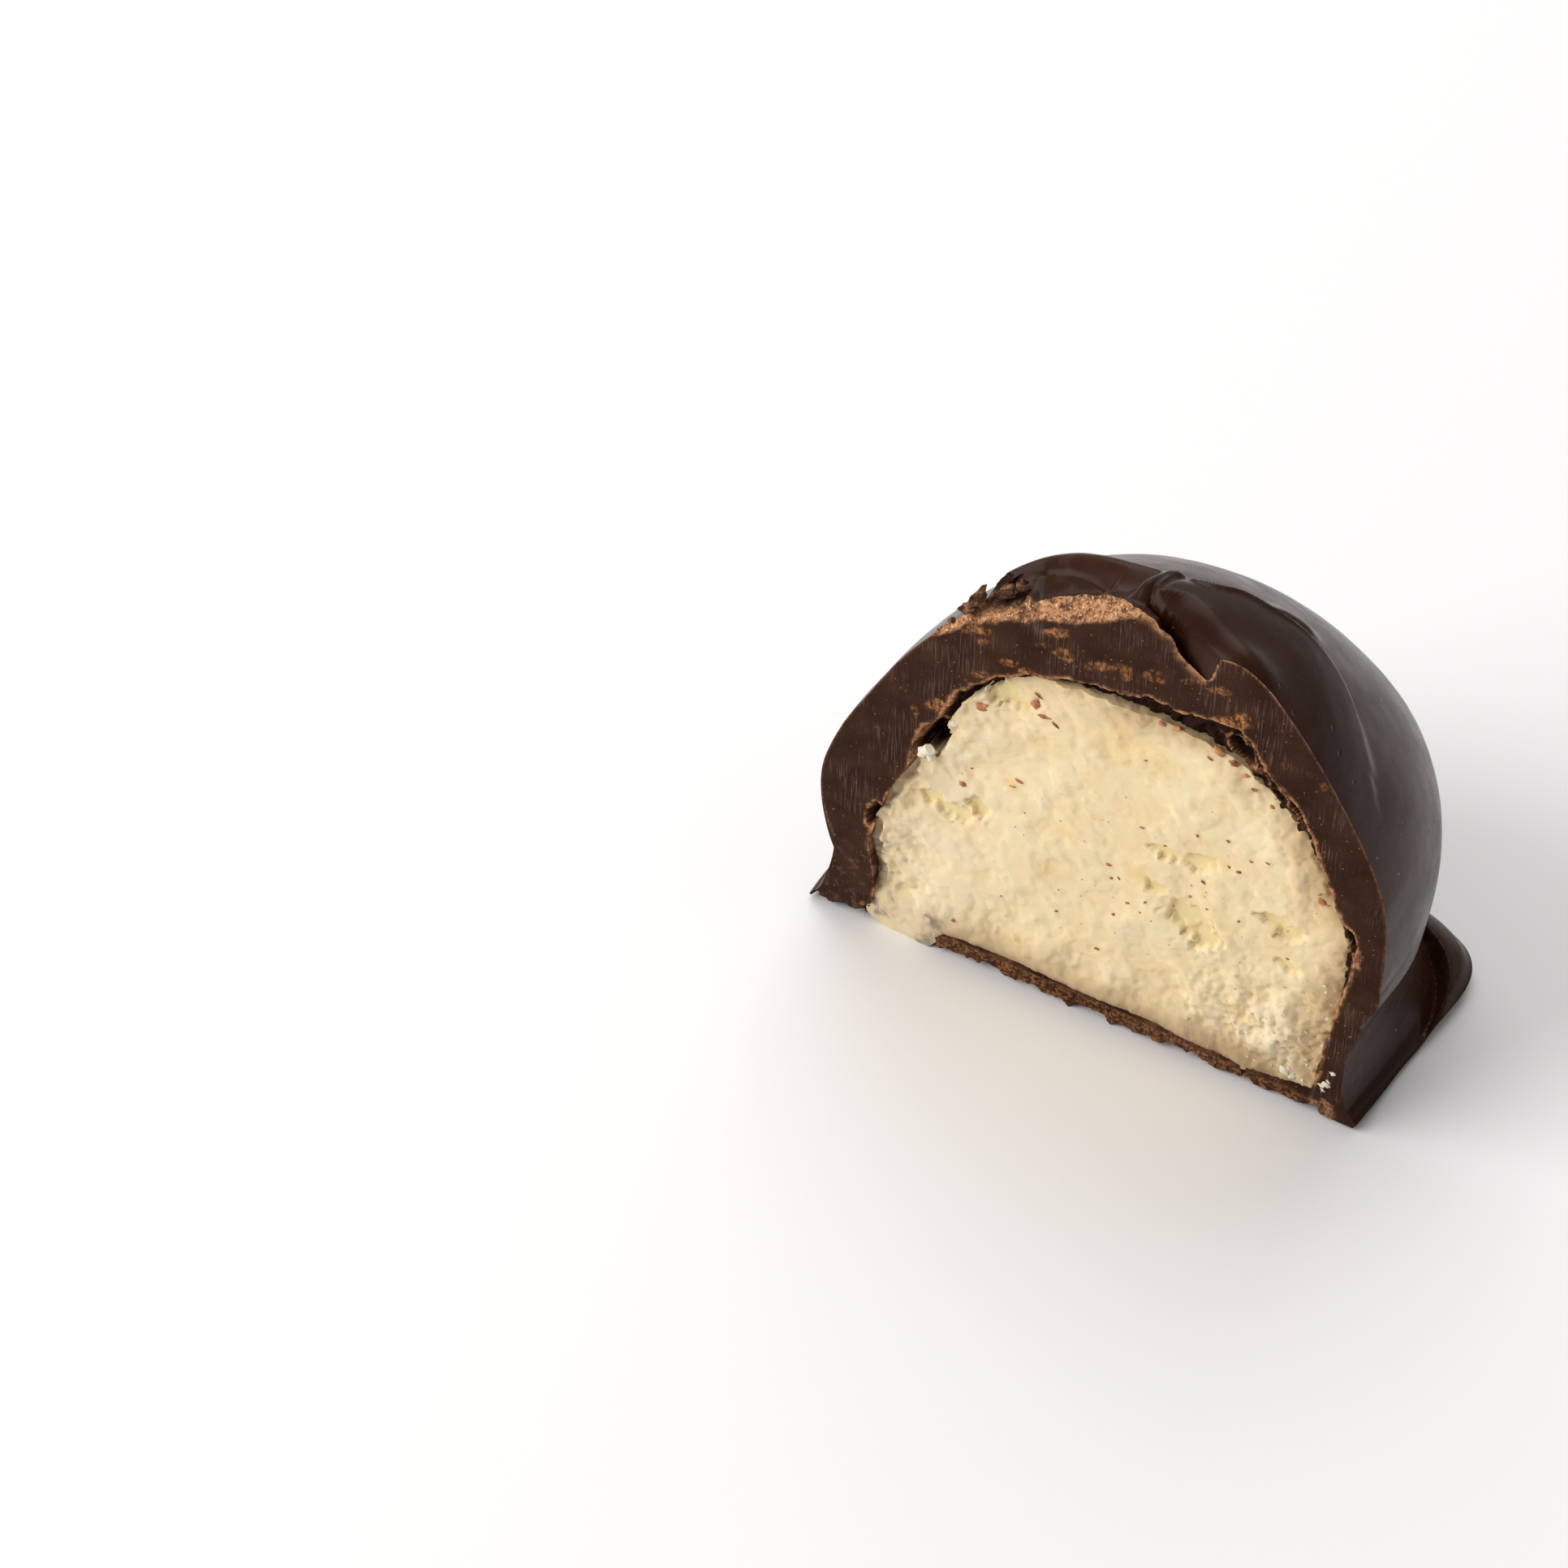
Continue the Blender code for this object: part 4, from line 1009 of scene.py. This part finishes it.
def cut_finish():
    """Matt cut chocolate: knife streaks, pale bloom, orange smears, a granular edge and tan rims."""
    colours = bpy.context.scene.chocolate_colours
    finish = Finish("cut chocolate")
    clouds = finish.noise(0.45, 4.0, 0.6)
    base = finish.mix(finish.ramp(clouds, 0.3, 0.7), colours.cut, colours.cut_light)
    streaks = finish.noise((14.0, 1.0, 0.5), 4.0, 0.7)
    patches = finish.ramp(finish.noise((0.35, 0.35, 0.5), 2.0), 0.42, 0.62)
    streaked = finish.times(finish.ramp(streaks, 0.50, 0.64), patches)
    base = finish.mix(finish.times(streaked, 0.55), base, colours.bloom)
    grain = finish.ramp(finish.noise(7.0, 3.0, 0.7), 0.60, 0.74, 0.0, 0.45)
    base = finish.mix(grain, base, colours.bloom)
    flecks = finish.ramp(finish.cells(2.6), 0.05, 0.12, 0.6, 0.0)
    base = finish.mix(flecks, base, colours.scraped)

    hatch = finish.ramp(finish.noise((4.5, 1.0, 2.2), 5.0, 0.75), 0.40, 0.60)
    bands = finish.ramp(finish.noise((1.0, 1.0, 3.2), 5.0, 0.75), 0.34, 0.54)
    smear = finish.times(finish.mark("smear"), finish.times(hatch, bands))
    base = finish.mix(finish.times(smear, 0.85), base, colours.scraped)

    granules = finish.noise(5.5, 6.0, 0.8)
    clumps = finish.noise(1.5, 5.0, 0.75)
    torn = finish.mix(finish.ramp(granules, 0.34, 0.60), colours.cut_light, colours.torn)
    torn = finish.mix(finish.ramp(clumps, 0.50, 0.60, 0.0, 0.8), torn, colours.cut_light)
    torn = finish.mix(finish.ramp(finish.noise(7.5, 3.0), 0.57, 0.68), torn, colours.torn_light)
    base = finish.mix(finish.mark("torn"), base, torn)

    strip = finish.mix(finish.ramp(granules, 0.45, 0.75), colours.strip, colours.cut_light)
    base = finish.mix(finish.mark("strip"), base, strip)
    mottled = finish.ramp(finish.noise(5.0, 5.0, 0.75), 0.44, 0.62, 0.0, 0.45)
    base = finish.mix(finish.times(finish.mark("base"), mottled), base, colours.scraped)
    dusty = finish.ramp(finish.noise(2.0, 5.0, 0.7), 0.5, 0.7, 0.0, 0.5)
    base = finish.mix(finish.times(finish.mark("left_foot"), dusty), base, colours.bloom)
    gaps = finish.ramp(finish.noise(1.3, 4.0, 0.7), 0.40, 0.56, 0.2, 1.0)
    edge = finish.times(finish.mark("rim"), gaps)
    edge = finish.times(edge, finish.ramp(granules, 0.32, 0.52))
    base = finish.mix(edge, base, colours.torn)
    finish.look({"Base Color": base, "Roughness": 0.75, "Specular IOR Level": 0.07})
    finish.relief(streaks, 0.03, 0.6)
    finish.relief(finish.noise(5.0, 5.0, 0.7), 0.05, 0.6)
    return finish.material


def cream_finish():
    """Crumbly sugar cream: yellower hollows, paler edges, painted shade near the coat and a soft brown painted
    shade above the base.
    """
    colours = bpy.context.scene.chocolate_colours
    finish = Finish("cream centre")
    clouds = finish.noise(0.35, 5.0, 0.6)
    base = finish.mix(finish.ramp(clouds, 0.35, 0.68), colours.cream, colours.cream_light)
    blots = finish.ramp(finish.noise(1.1, 5.0, 0.7), 0.50, 0.66, 0.0, 0.45)
    base = finish.mix(blots, base, colours.cream_warm)
    # The warm mark also carries painted shadow at the top, and the edge mark paints shade near the coat and under
    # the strip
    for mark in ("warm", "pale", "edge", "pit"):
        base = finish.mix(finish.mark(mark), base, getattr(colours, "cream_" + mark))
    # Painted shade on the cream just above the base
    base = finish.mix(finish.times(finish.mark("shade"), 0.75), base, colours.cream_shade)
    base = finish.mix(finish.mark("hole"), base, colours.cut)
    grey = finish.ramp(finish.noise(1.1, 5.0, 0.65), 0.46, 0.60, 0.0, 0.9)
    base = finish.mix(finish.times(finish.mark("dusty"), grey), base, colours.cream_dusty)
    dust = finish.ramp(finish.noise(4.5, 4.0, 0.7), 0.66, 0.74, 0.0, 0.35)
    base = finish.mix(dust, base, colours.cream_warm)
    finish.look({"Base Color": base, "Roughness": 0.72, "Specular IOR Level": 0.15, "Subsurface Weight": 0.3,
                 "Subsurface Radius": (1.0, 0.7, 0.35), "Subsurface Scale": SCATTER_DEPTH})
    finish.relief(finish.noise(1.6, 6.0, 0.7), 0.04, 0.5)
    finish.relief(finish.noise(7.0, 3.0, 0.7), 0.02, 0.5)
    return finish.material


def crumb_finish():
    """Brown crumbs of chocolate, scraped lighter in places."""
    colours = bpy.context.scene.chocolate_colours
    finish = Finish("chocolate crumb")
    tone = finish.noise(1.3, 3.0, 0.6)
    base = finish.mix(finish.ramp(tone, 0.35, 0.65), colours.crumb, colours.scraped)
    finish.look({"Base Color": base, "Roughness": 0.55})
    finish.relief(finish.noise(9.0, 3.0), 0.02, 0.6)
    return finish.material


def flake_finish():
    """Flakes of sugar cream that let some light in."""
    colours = bpy.context.scene.chocolate_colours
    finish = Finish("sugar flake")
    tone = finish.noise(2.0, 3.0, 0.6)
    base = finish.mix(finish.ramp(tone, 0.3, 0.7), colours.flake, colours.cream_pale)
    finish.look({"Base Color": base, "Roughness": 0.6, "Subsurface Weight": 0.3,
                 "Subsurface Radius": (1.0, 1.0, 1.0), "Subsurface Scale": SCATTER_DEPTH})
    finish.relief(finish.noise(8.0, 4.0, 0.7), 0.04, 0.6)
    return finish.material


def floor_finish():
    """A plain pale floor with the faintest clouds."""
    colours = bpy.context.scene.chocolate_colours
    finish = Finish("pale table")
    tone = finish.noise(0.02, 2.0)
    base = finish.mix(finish.ramp(tone, 0.3, 0.7, 0.0, 0.04), colours.floor, FLOOR_CLOUDS)
    finish.look({"Base Color": base, "Roughness": 0.6, "Specular IOR Level": 0.2})
    return finish.material


def broken_bit(mesh, place, size, flat, turn, draw):
    """Adds one small broken piece to a mesh: a faceted ball knocked out of shape."""
    before = len(mesh.verts)
    bmesh.ops.create_icosphere(mesh, subdivisions=2, radius=1.0)
    mesh.verts.ensure_lookup_table()
    shift = Vector((draw.uniform(0, 50), draw.uniform(0, 50), draw.uniform(0, 50)))
    c, s = math.cos(turn), math.sin(turn)
    for vertex in mesh.verts[before:]:
        swing = 1.0 + 0.55 * noise.noise(vertex.co * 1.3 + shift) + 0.3 * noise.noise(vertex.co * 3.1 + shift)
        x, y, z = vertex.co * swing * size
        y, z = y * 0.5, z * flat
        vertex.co = Vector((c * x - s * z, y, s * x + c * z)) + Vector(place)


def bits_piece(name, bits, material):
    """Joins many small broken pieces into one mesh: each is (place, size, flatness, turn)."""
    draw = random.Random(BIT_SHAPE_SEED)
    solid = bmesh.new()
    for place, size, flat, turn in bits:
        broken_bit(solid, place, size, flat, turn, draw)
    bmesh.ops.scale(solid, vec=(MM, MM, MM), verts=list(solid.verts))
    mesh = mesh_of(solid, name)
    mesh.materials.append(material)
    return linked(name, mesh)


def on_cream(spots):
    """Depth of the cream's face under each spot of the cut."""
    depth, _ = cream_face(np.array(spots, float))
    return depth


def length(name, description, default, **limits):
    return FloatProperty(name=name, description=description, default=default, unit="LENGTH", **limits)


def tint(name, description, default):
    return FloatVectorProperty(name=name, description=description, default=default, subtype="COLOR")


class ChocolateSizes(bpy.types.PropertyGroup):
    shell_width: length("Shell width", "Width of the dome where it is widest", 28.6 * MM)
    shell_height: length("Shell height", "Height of the dome without its folds", 25.75 * MM)
    cream_width: length("Cream width", "Width of the cream centre", 24.2 * MM)
    cream_height: length("Cream height", "Height of the cream centre's top", 20.55 * MM)
    base_thickness: length("Base thickness", "Thickness of the chocolate base", 1.25 * MM)
    foot_width: length("Foot width", "Width of the foot along the cut", 29.6 * MM)
    crumb_count: IntProperty(name="Crumbs", description="Number of tiny chocolate crumbs on the cream",
                             default=55, min=0, max=600)
    crumb_size: length("Crumb size", "Half the size of a tiny crumb", 0.06 * MM, precision=6)
    flake_count: IntProperty(name="Cream crumbs", description="Number of loose cream crumbs at the lower right",
                             default=90, min=0, max=900)


class ChocolateColours(bpy.types.PropertyGroup):
    coat: tint("Coat", "Dark chocolate outside", (0.028, 0.0085, 0.0036))
    coat_light: tint("Coat, lighter", "Reddish clouds in the coat", (0.044, 0.0145, 0.0070))
    bloom: tint("Bloom", "Pale fat bloom and knife streaks", (0.19, 0.125, 0.090))
    speck: tint("Speck", "Dust on the coat", (0.30, 0.22, 0.16))
    cut: tint("Cut", "Chocolate where it was cut", (0.029, 0.0103, 0.0056))
    cut_light: tint("Cut, lighter", "Lighter clouds in the cut", (0.054, 0.0215, 0.0120))
    scraped: tint("Scraped", "Smears and scraped chocolate", (0.60, 0.25, 0.088))
    torn: tint("Torn edge", "Granular broken edge", (0.66, 0.32, 0.15))
    torn_light: tint("Torn edge, lighter", "Lightest grains of the broken edge", (0.80, 0.55, 0.36))
    strip: tint("Broken strip", "Strip between the cut and the cream", (0.024, 0.0095, 0.005))
    cream: tint("Cream", "Most of the cream centre", (0.93, 0.72, 0.42))
    cream_light: tint("Cream, lighter", "Lighter clouds in the cream", (0.94, 0.78, 0.50))
    # cream_warm also paints the shadow under the coat's overhang at the top of the cream
    cream_warm: tint("Cream, warm", "Yellow patches of the cream", (0.92, 0.66, 0.29))
    cream_pale: tint("Cream, pale", "Drier cream near the edges", (0.91, 0.78, 0.54))
    cream_pit: tint("Cream, hollows", "Deeper, yellower cream in the hollows", (0.90, 0.72, 0.38))
    # Painted shade: the cream just above the base is drawn browner, not a colour of its own
    cream_shade: tint("Cream above the base", "Cream in painted shade above the base", (0.50, 0.34, 0.20))
    # Painted shade: the cream near the coat and under the strip is drawn darker
    cream_edge: tint("Cream, edges", "Cream near the coat", (0.55, 0.375, 0.195))
    cream_dusty: tint("Cream, dusty", "Cream greyed by chocolate dust", (0.32, 0.27, 0.22))
    crumb: tint("Crumbs", "Chocolate crumbs on the cream", (0.26, 0.080, 0.028))
    flake: tint("Sugar flakes", "White flakes of sugar", (0.84, 0.76, 0.60))
    floor: tint("Table", "Plain pale table", (0.95, 0.935, 0.93))


class StudioSettings(bpy.types.PropertyGroup):
    front_surroundings: FloatProperty(name="Surroundings in front", description="Brightness in front of the cut",
                                      default=0.06)
    back_surroundings: FloatProperty(name="Surroundings behind", description="Brightness behind and above",
                                     default=0.46)
    back_light: FloatProperty(name="Back light", description="Power of the soft light behind", default=2.0,
                              unit="POWER")
    front_light: FloatProperty(name="Front light", description="Power of the soft light in front", default=3.12,
                               unit="POWER")
    lens: FloatProperty(name="Lens", description="Focal length", default=93.17, unit="CAMERA")
    distance: FloatProperty(name="Distance", description="From the camera to what it looks at",
                            default=200 * MM, unit="LENGTH")


class CHOCOLATE_OT_shell(bpy.types.Operator):
    """Makes the dipped shell with its folds, foot, base and cut face"""
    bl_idname = "chocolate.shell"
    bl_label = "Make Shell"

    def execute(self, context):
        def hollow_shape(azimuth, row):
            return cream_shape(azimuth, row, 0.0, HOLLOW_DOME_ROWS, HOLLOW_UNDER_ROWS)

        rows = COAT_DOME_ROWS + COAT_FOOT_ROWS + COAT_UNDER_ROWS
        shell = moulded("shell_half", coat_shape, COAT_SEGMENTS, rows)
        hollow = moulded("hollow", hollow_shape, HOLLOW_SEGMENTS, HOLLOW_DOME_ROWS + HOLLOW_UNDER_ROWS)
        knife = front_block("knife", cut_face, 1)
        for finish in (coat_finish(), cut_finish()):
            for solid in (shell, hollow, knife):
                solid.data.materials.append(finish)
        hollow.data.polygons.foreach_set("material_index", np.ones(len(hollow.data.polygons), int))
        cut_away(shell, [hollow, knife])
        places = mesh_places(shell.data) / MM
        keep_marks(shell.data, places, cut_face)
        finish_piece(shell, "chocolate_shell", 40.0)
        return {"FINISHED"}


class CHOCOLATE_OT_cream(bpy.types.Operator):
    """Makes the cream centre with its crumbly broken face"""
    bl_idname = "chocolate.cream"
    bl_label = "Make Cream Centre"

    def execute(self, context):
        def shape(azimuth, row):
            points = cream_shape(azimuth, row, CREAM_OVERLAP, CREAM_DOME_ROWS, CREAM_UNDER_ROWS)
            outwards = points - points.mean(axis=0)
            outwards /= np.linalg.norm(outwards, axis=1, keepdims=True)
            uneven = 0.10 * roughness_at(points, 0.7, 5) + 0.06 * roughness_at(points, 0.3, 6)
            return points + outwards * uneven[:, None] * (points[:, 2] > 1.0)[:, None]

        cream = moulded("cream_centre", shape, CREAM_SEGMENTS, CREAM_DOME_ROWS + CREAM_UNDER_ROWS)
        broken = front_block("broken face", cream_face, 0)
        finish = cream_finish()
        cream.data.materials.append(finish)
        broken.data.materials.append(finish)
        cut_away(cream, [broken])
        places = mesh_places(cream.data) / MM
        keep_marks(cream.data, places, cream_face)
        finish_piece(cream, "cream_filling", 60.0)
        return {"FINISHED"}


class CHOCOLATE_OT_crumbs(bpy.types.Operator):
    """Scatters chocolate crumbs over the cream's broken face"""
    bl_idname = "chocolate.crumbs"
    bl_label = "Scatter Crumbs"

    def execute(self, context):
        sizes = context.scene.chocolate_sizes
        draw = random.Random(CRUMB_SEED)
        spots = [(bit.x, bit.z, bit.size) for bit in LARGE_CRUMBS]
        while len(spots) < len(LARGE_CRUMBS) + sizes.crumb_count:
            x, z = (draw.gauss(middle, spread) for middle, spread in CRUMB_SCATTER)
            if in_oval(x, z, *CRUMB_FIELD) > 0.0 and z > 2.0:
                spots.append((x, z, sizes.crumb_size / MM * draw.choice(CRUMB_SIZES)))
        depths = on_cream([(x, z) for x, z, _ in spots])
        bits = [((x, depth - 0.1 * size, z), size, draw.uniform(0.3, 0.8), draw.uniform(-0.9, 0.9))
                for (x, z, size), depth in zip(spots, depths)]
        for shaving, depth in zip(SHAVINGS, on_cream([(bit.x, bit.z) for bit in SHAVINGS])):
            bits.append(((shaving.x, depth, shaving.z), shaving.size, 0.22, draw.uniform(-0.7, 0.3)))
        crumbs = bits_piece("chocolate_crumbs", bits, crumb_finish())
        finish_piece(crumbs, None, 50.0)
        return {"FINISHED"}


class CHOCOLATE_OT_flakes(bpy.types.Operator):
    """Places the white sugar flakes at the edge of the cream"""
    bl_idname = "chocolate.flakes"
    bl_label = "Place Sugar Flakes"

    def execute(self, context):
        draw = random.Random(FLAKE_SEED)
        bits = []
        for flake in SUGAR_FLAKES:
            on_coat = flake.x > 12.2 or flake.x < -8.0
            depth = 0.05 if on_coat else float(on_cream([(flake.x, flake.z)])[0])
            bits.append(((flake.x, depth, flake.z), flake.size, draw.uniform(0.5, 0.9), draw.uniform(-1, 1)))
        spots = []
        while len(spots) < context.scene.chocolate_sizes.flake_count:
            x, z = (draw.uniform(*span) for span in FLAKE_FIELD)
            dryness = min(1.0, max(0.0, (x - 4.0) / 6.0)) * min(1.0, max(0.0, (9.5 - z) / 6.0))
            if draw.random() < dryness and inside_opening(np.array([[x, z]]))[0] > 0.15:
                spots.append((x, z))
        for (x, z), depth in zip(spots, on_cream(spots)):
            bits.append(((x, depth, z), draw.choice(FLAKE_SIZES), draw.uniform(0.4, 0.9), draw.uniform(-1, 1)))
        flakes = bits_piece("sugar_flakes", bits, flake_finish())
        finish_piece(flakes, None, 50.0)
        return {"FINISHED"}


class CHOCOLATE_OT_shards(bpy.types.Operator):
    """Adds the broken bits of chocolate that stand up at the end of the rope"""
    bl_idname = "chocolate.shards"
    bl_label = "Add Shards"

    def execute(self, context):
        shards = bits_piece("rim_shards", SHARDS, cut_finish())
        places = mesh_places(shards.data) / MM
        speckled = smooth_step(0.35 + 1.6 * roughness_at(places, 0.35, 71))
        speckled = speckled * np.where(places[:, 0] < SPECKLED_LEFT_OF, 0.65, 0.2)
        torn = shards.data.attributes.new("torn", "FLOAT", "POINT")
        torn.data.foreach_set("value", speckled.astype(np.float32))
        finish_piece(shards, None, 35.0)
        return {"FINISHED"}


class CHOCOLATE_OT_studio(bpy.types.Operator):
    """Sets the table, the soft lights and the camera"""
    bl_idname = "chocolate.studio"
    bl_label = "Set Studio"

    def execute(self, context):
        studio = context.scene.chocolate_studio
        solid = bmesh.new()
        bmesh.ops.create_grid(solid, x_segments=1, y_segments=1, size=FLOOR_HALF)
        mesh = mesh_of(solid, "table")
        mesh.materials.append(floor_finish())
        table = linked("table", mesh)

        target = CUT_MIDDLE + Vector(CAMERA_TARGET) * MM
        away = Vector(CAMERA_WAY)
        lens = bpy.data.cameras.new("camera")
        lens.lens = studio.lens
        lens.sensor_width = SENSOR_WIDTH
        lens.clip_start = 0.01
        camera = linked("camera", lens)
        camera.location = target + away * studio.distance
        camera.rotation_euler = (-away).to_track_quat("-Z", "Y").to_euler()
        context.scene.camera = camera

        lights = (("back light", BACK_LIGHT_WAY, BACK_LIGHT_SIZE, studio.back_light),
                  ("front light", FRONT_LIGHT_WAY, FRONT_LIGHT_SIZE, studio.front_light))
        for name, way, size, power in lights:
            lamp = bpy.data.lights.new(name, "AREA")
            lamp.size = size
            lamp.energy = power
            light = linked(name, lamp)
            toward = Vector(way).normalized()
            light.location = toward * LIGHT_DISTANCE
            light.rotation_euler = toward.to_track_quat("Z", "Y").to_euler()

        # White surroundings, brighter behind and above than on the camera's side
        world = bpy.data.worlds.new("white surroundings")
        world.use_nodes = True
        context.scene.world = world
        tree = world.node_tree
        where = add_node(tree, "TexCoord", {}, "Generated")
        inputs = {0: where, 1: Vector(BACK_LIGHT_WAY).normalized()}
        toward = add_node(tree, "VectorMath", inputs, "Value", operation="DOT_PRODUCT")
        surroundings = ramped(tree, toward, -0.3, 0.9, studio.front_surroundings, studio.back_surroundings)
        fill(tree, tree.nodes["Background"], {"Color": (1.0, 1.0, 1.0, 1.0), "Strength": surroundings})
        context.scene.view_settings.view_transform = "Standard"
        return {"FINISHED"}


class CHOCOLATE_PT_panel(bpy.types.Panel):
    """Sizes, colours and the steps that make the chocolate"""
    bl_idname = "CHOCOLATE_PT_panel"
    bl_label = "Halved Filled Chocolate"
    bl_space_type = "VIEW_3D"
    bl_region_type = "UI"
    bl_category = "Chocolate"

    def draw(self, context):
        layout = self.layout
        scene = context.scene
        for title, group in (("Sizes", scene.chocolate_sizes), ("Colours", scene.chocolate_colours),
                             ("Studio", scene.chocolate_studio)):
            box = layout.box()
            box.label(text=title)
            for name in group.__annotations__:
                box.prop(group, name)
        for step in STEPS:
            layout.operator(step.bl_idname)


STEPS = (CHOCOLATE_OT_shell, CHOCOLATE_OT_cream, CHOCOLATE_OT_crumbs, CHOCOLATE_OT_flakes, CHOCOLATE_OT_shards,
         CHOCOLATE_OT_studio)
GROUPS = (ChocolateSizes, ChocolateColours, StudioSettings)


def register():
    for item in GROUPS + STEPS + (CHOCOLATE_PT_panel,):
        bpy.utils.register_class(item)
    bpy.types.Scene.chocolate_sizes = PointerProperty(type=ChocolateSizes)
    bpy.types.Scene.chocolate_colours = PointerProperty(type=ChocolateColours)
    bpy.types.Scene.chocolate_studio = PointerProperty(type=StudioSettings)


def unregister():
    for name in ("chocolate_sizes", "chocolate_colours", "chocolate_studio"):
        delattr(bpy.types.Scene, name)
    for item in reversed(GROUPS + STEPS + (CHOCOLATE_PT_panel,)):
        bpy.utils.unregister_class(item)


def main():
    register()
    bpy.ops.chocolate.shell()
    bpy.ops.chocolate.cream()
    bpy.ops.chocolate.crumbs()
    bpy.ops.chocolate.flakes()
    bpy.ops.chocolate.shards()
    bpy.ops.chocolate.studio()
    bpy.context.view_layer.update()


if __name__ == "__main__":
    main()
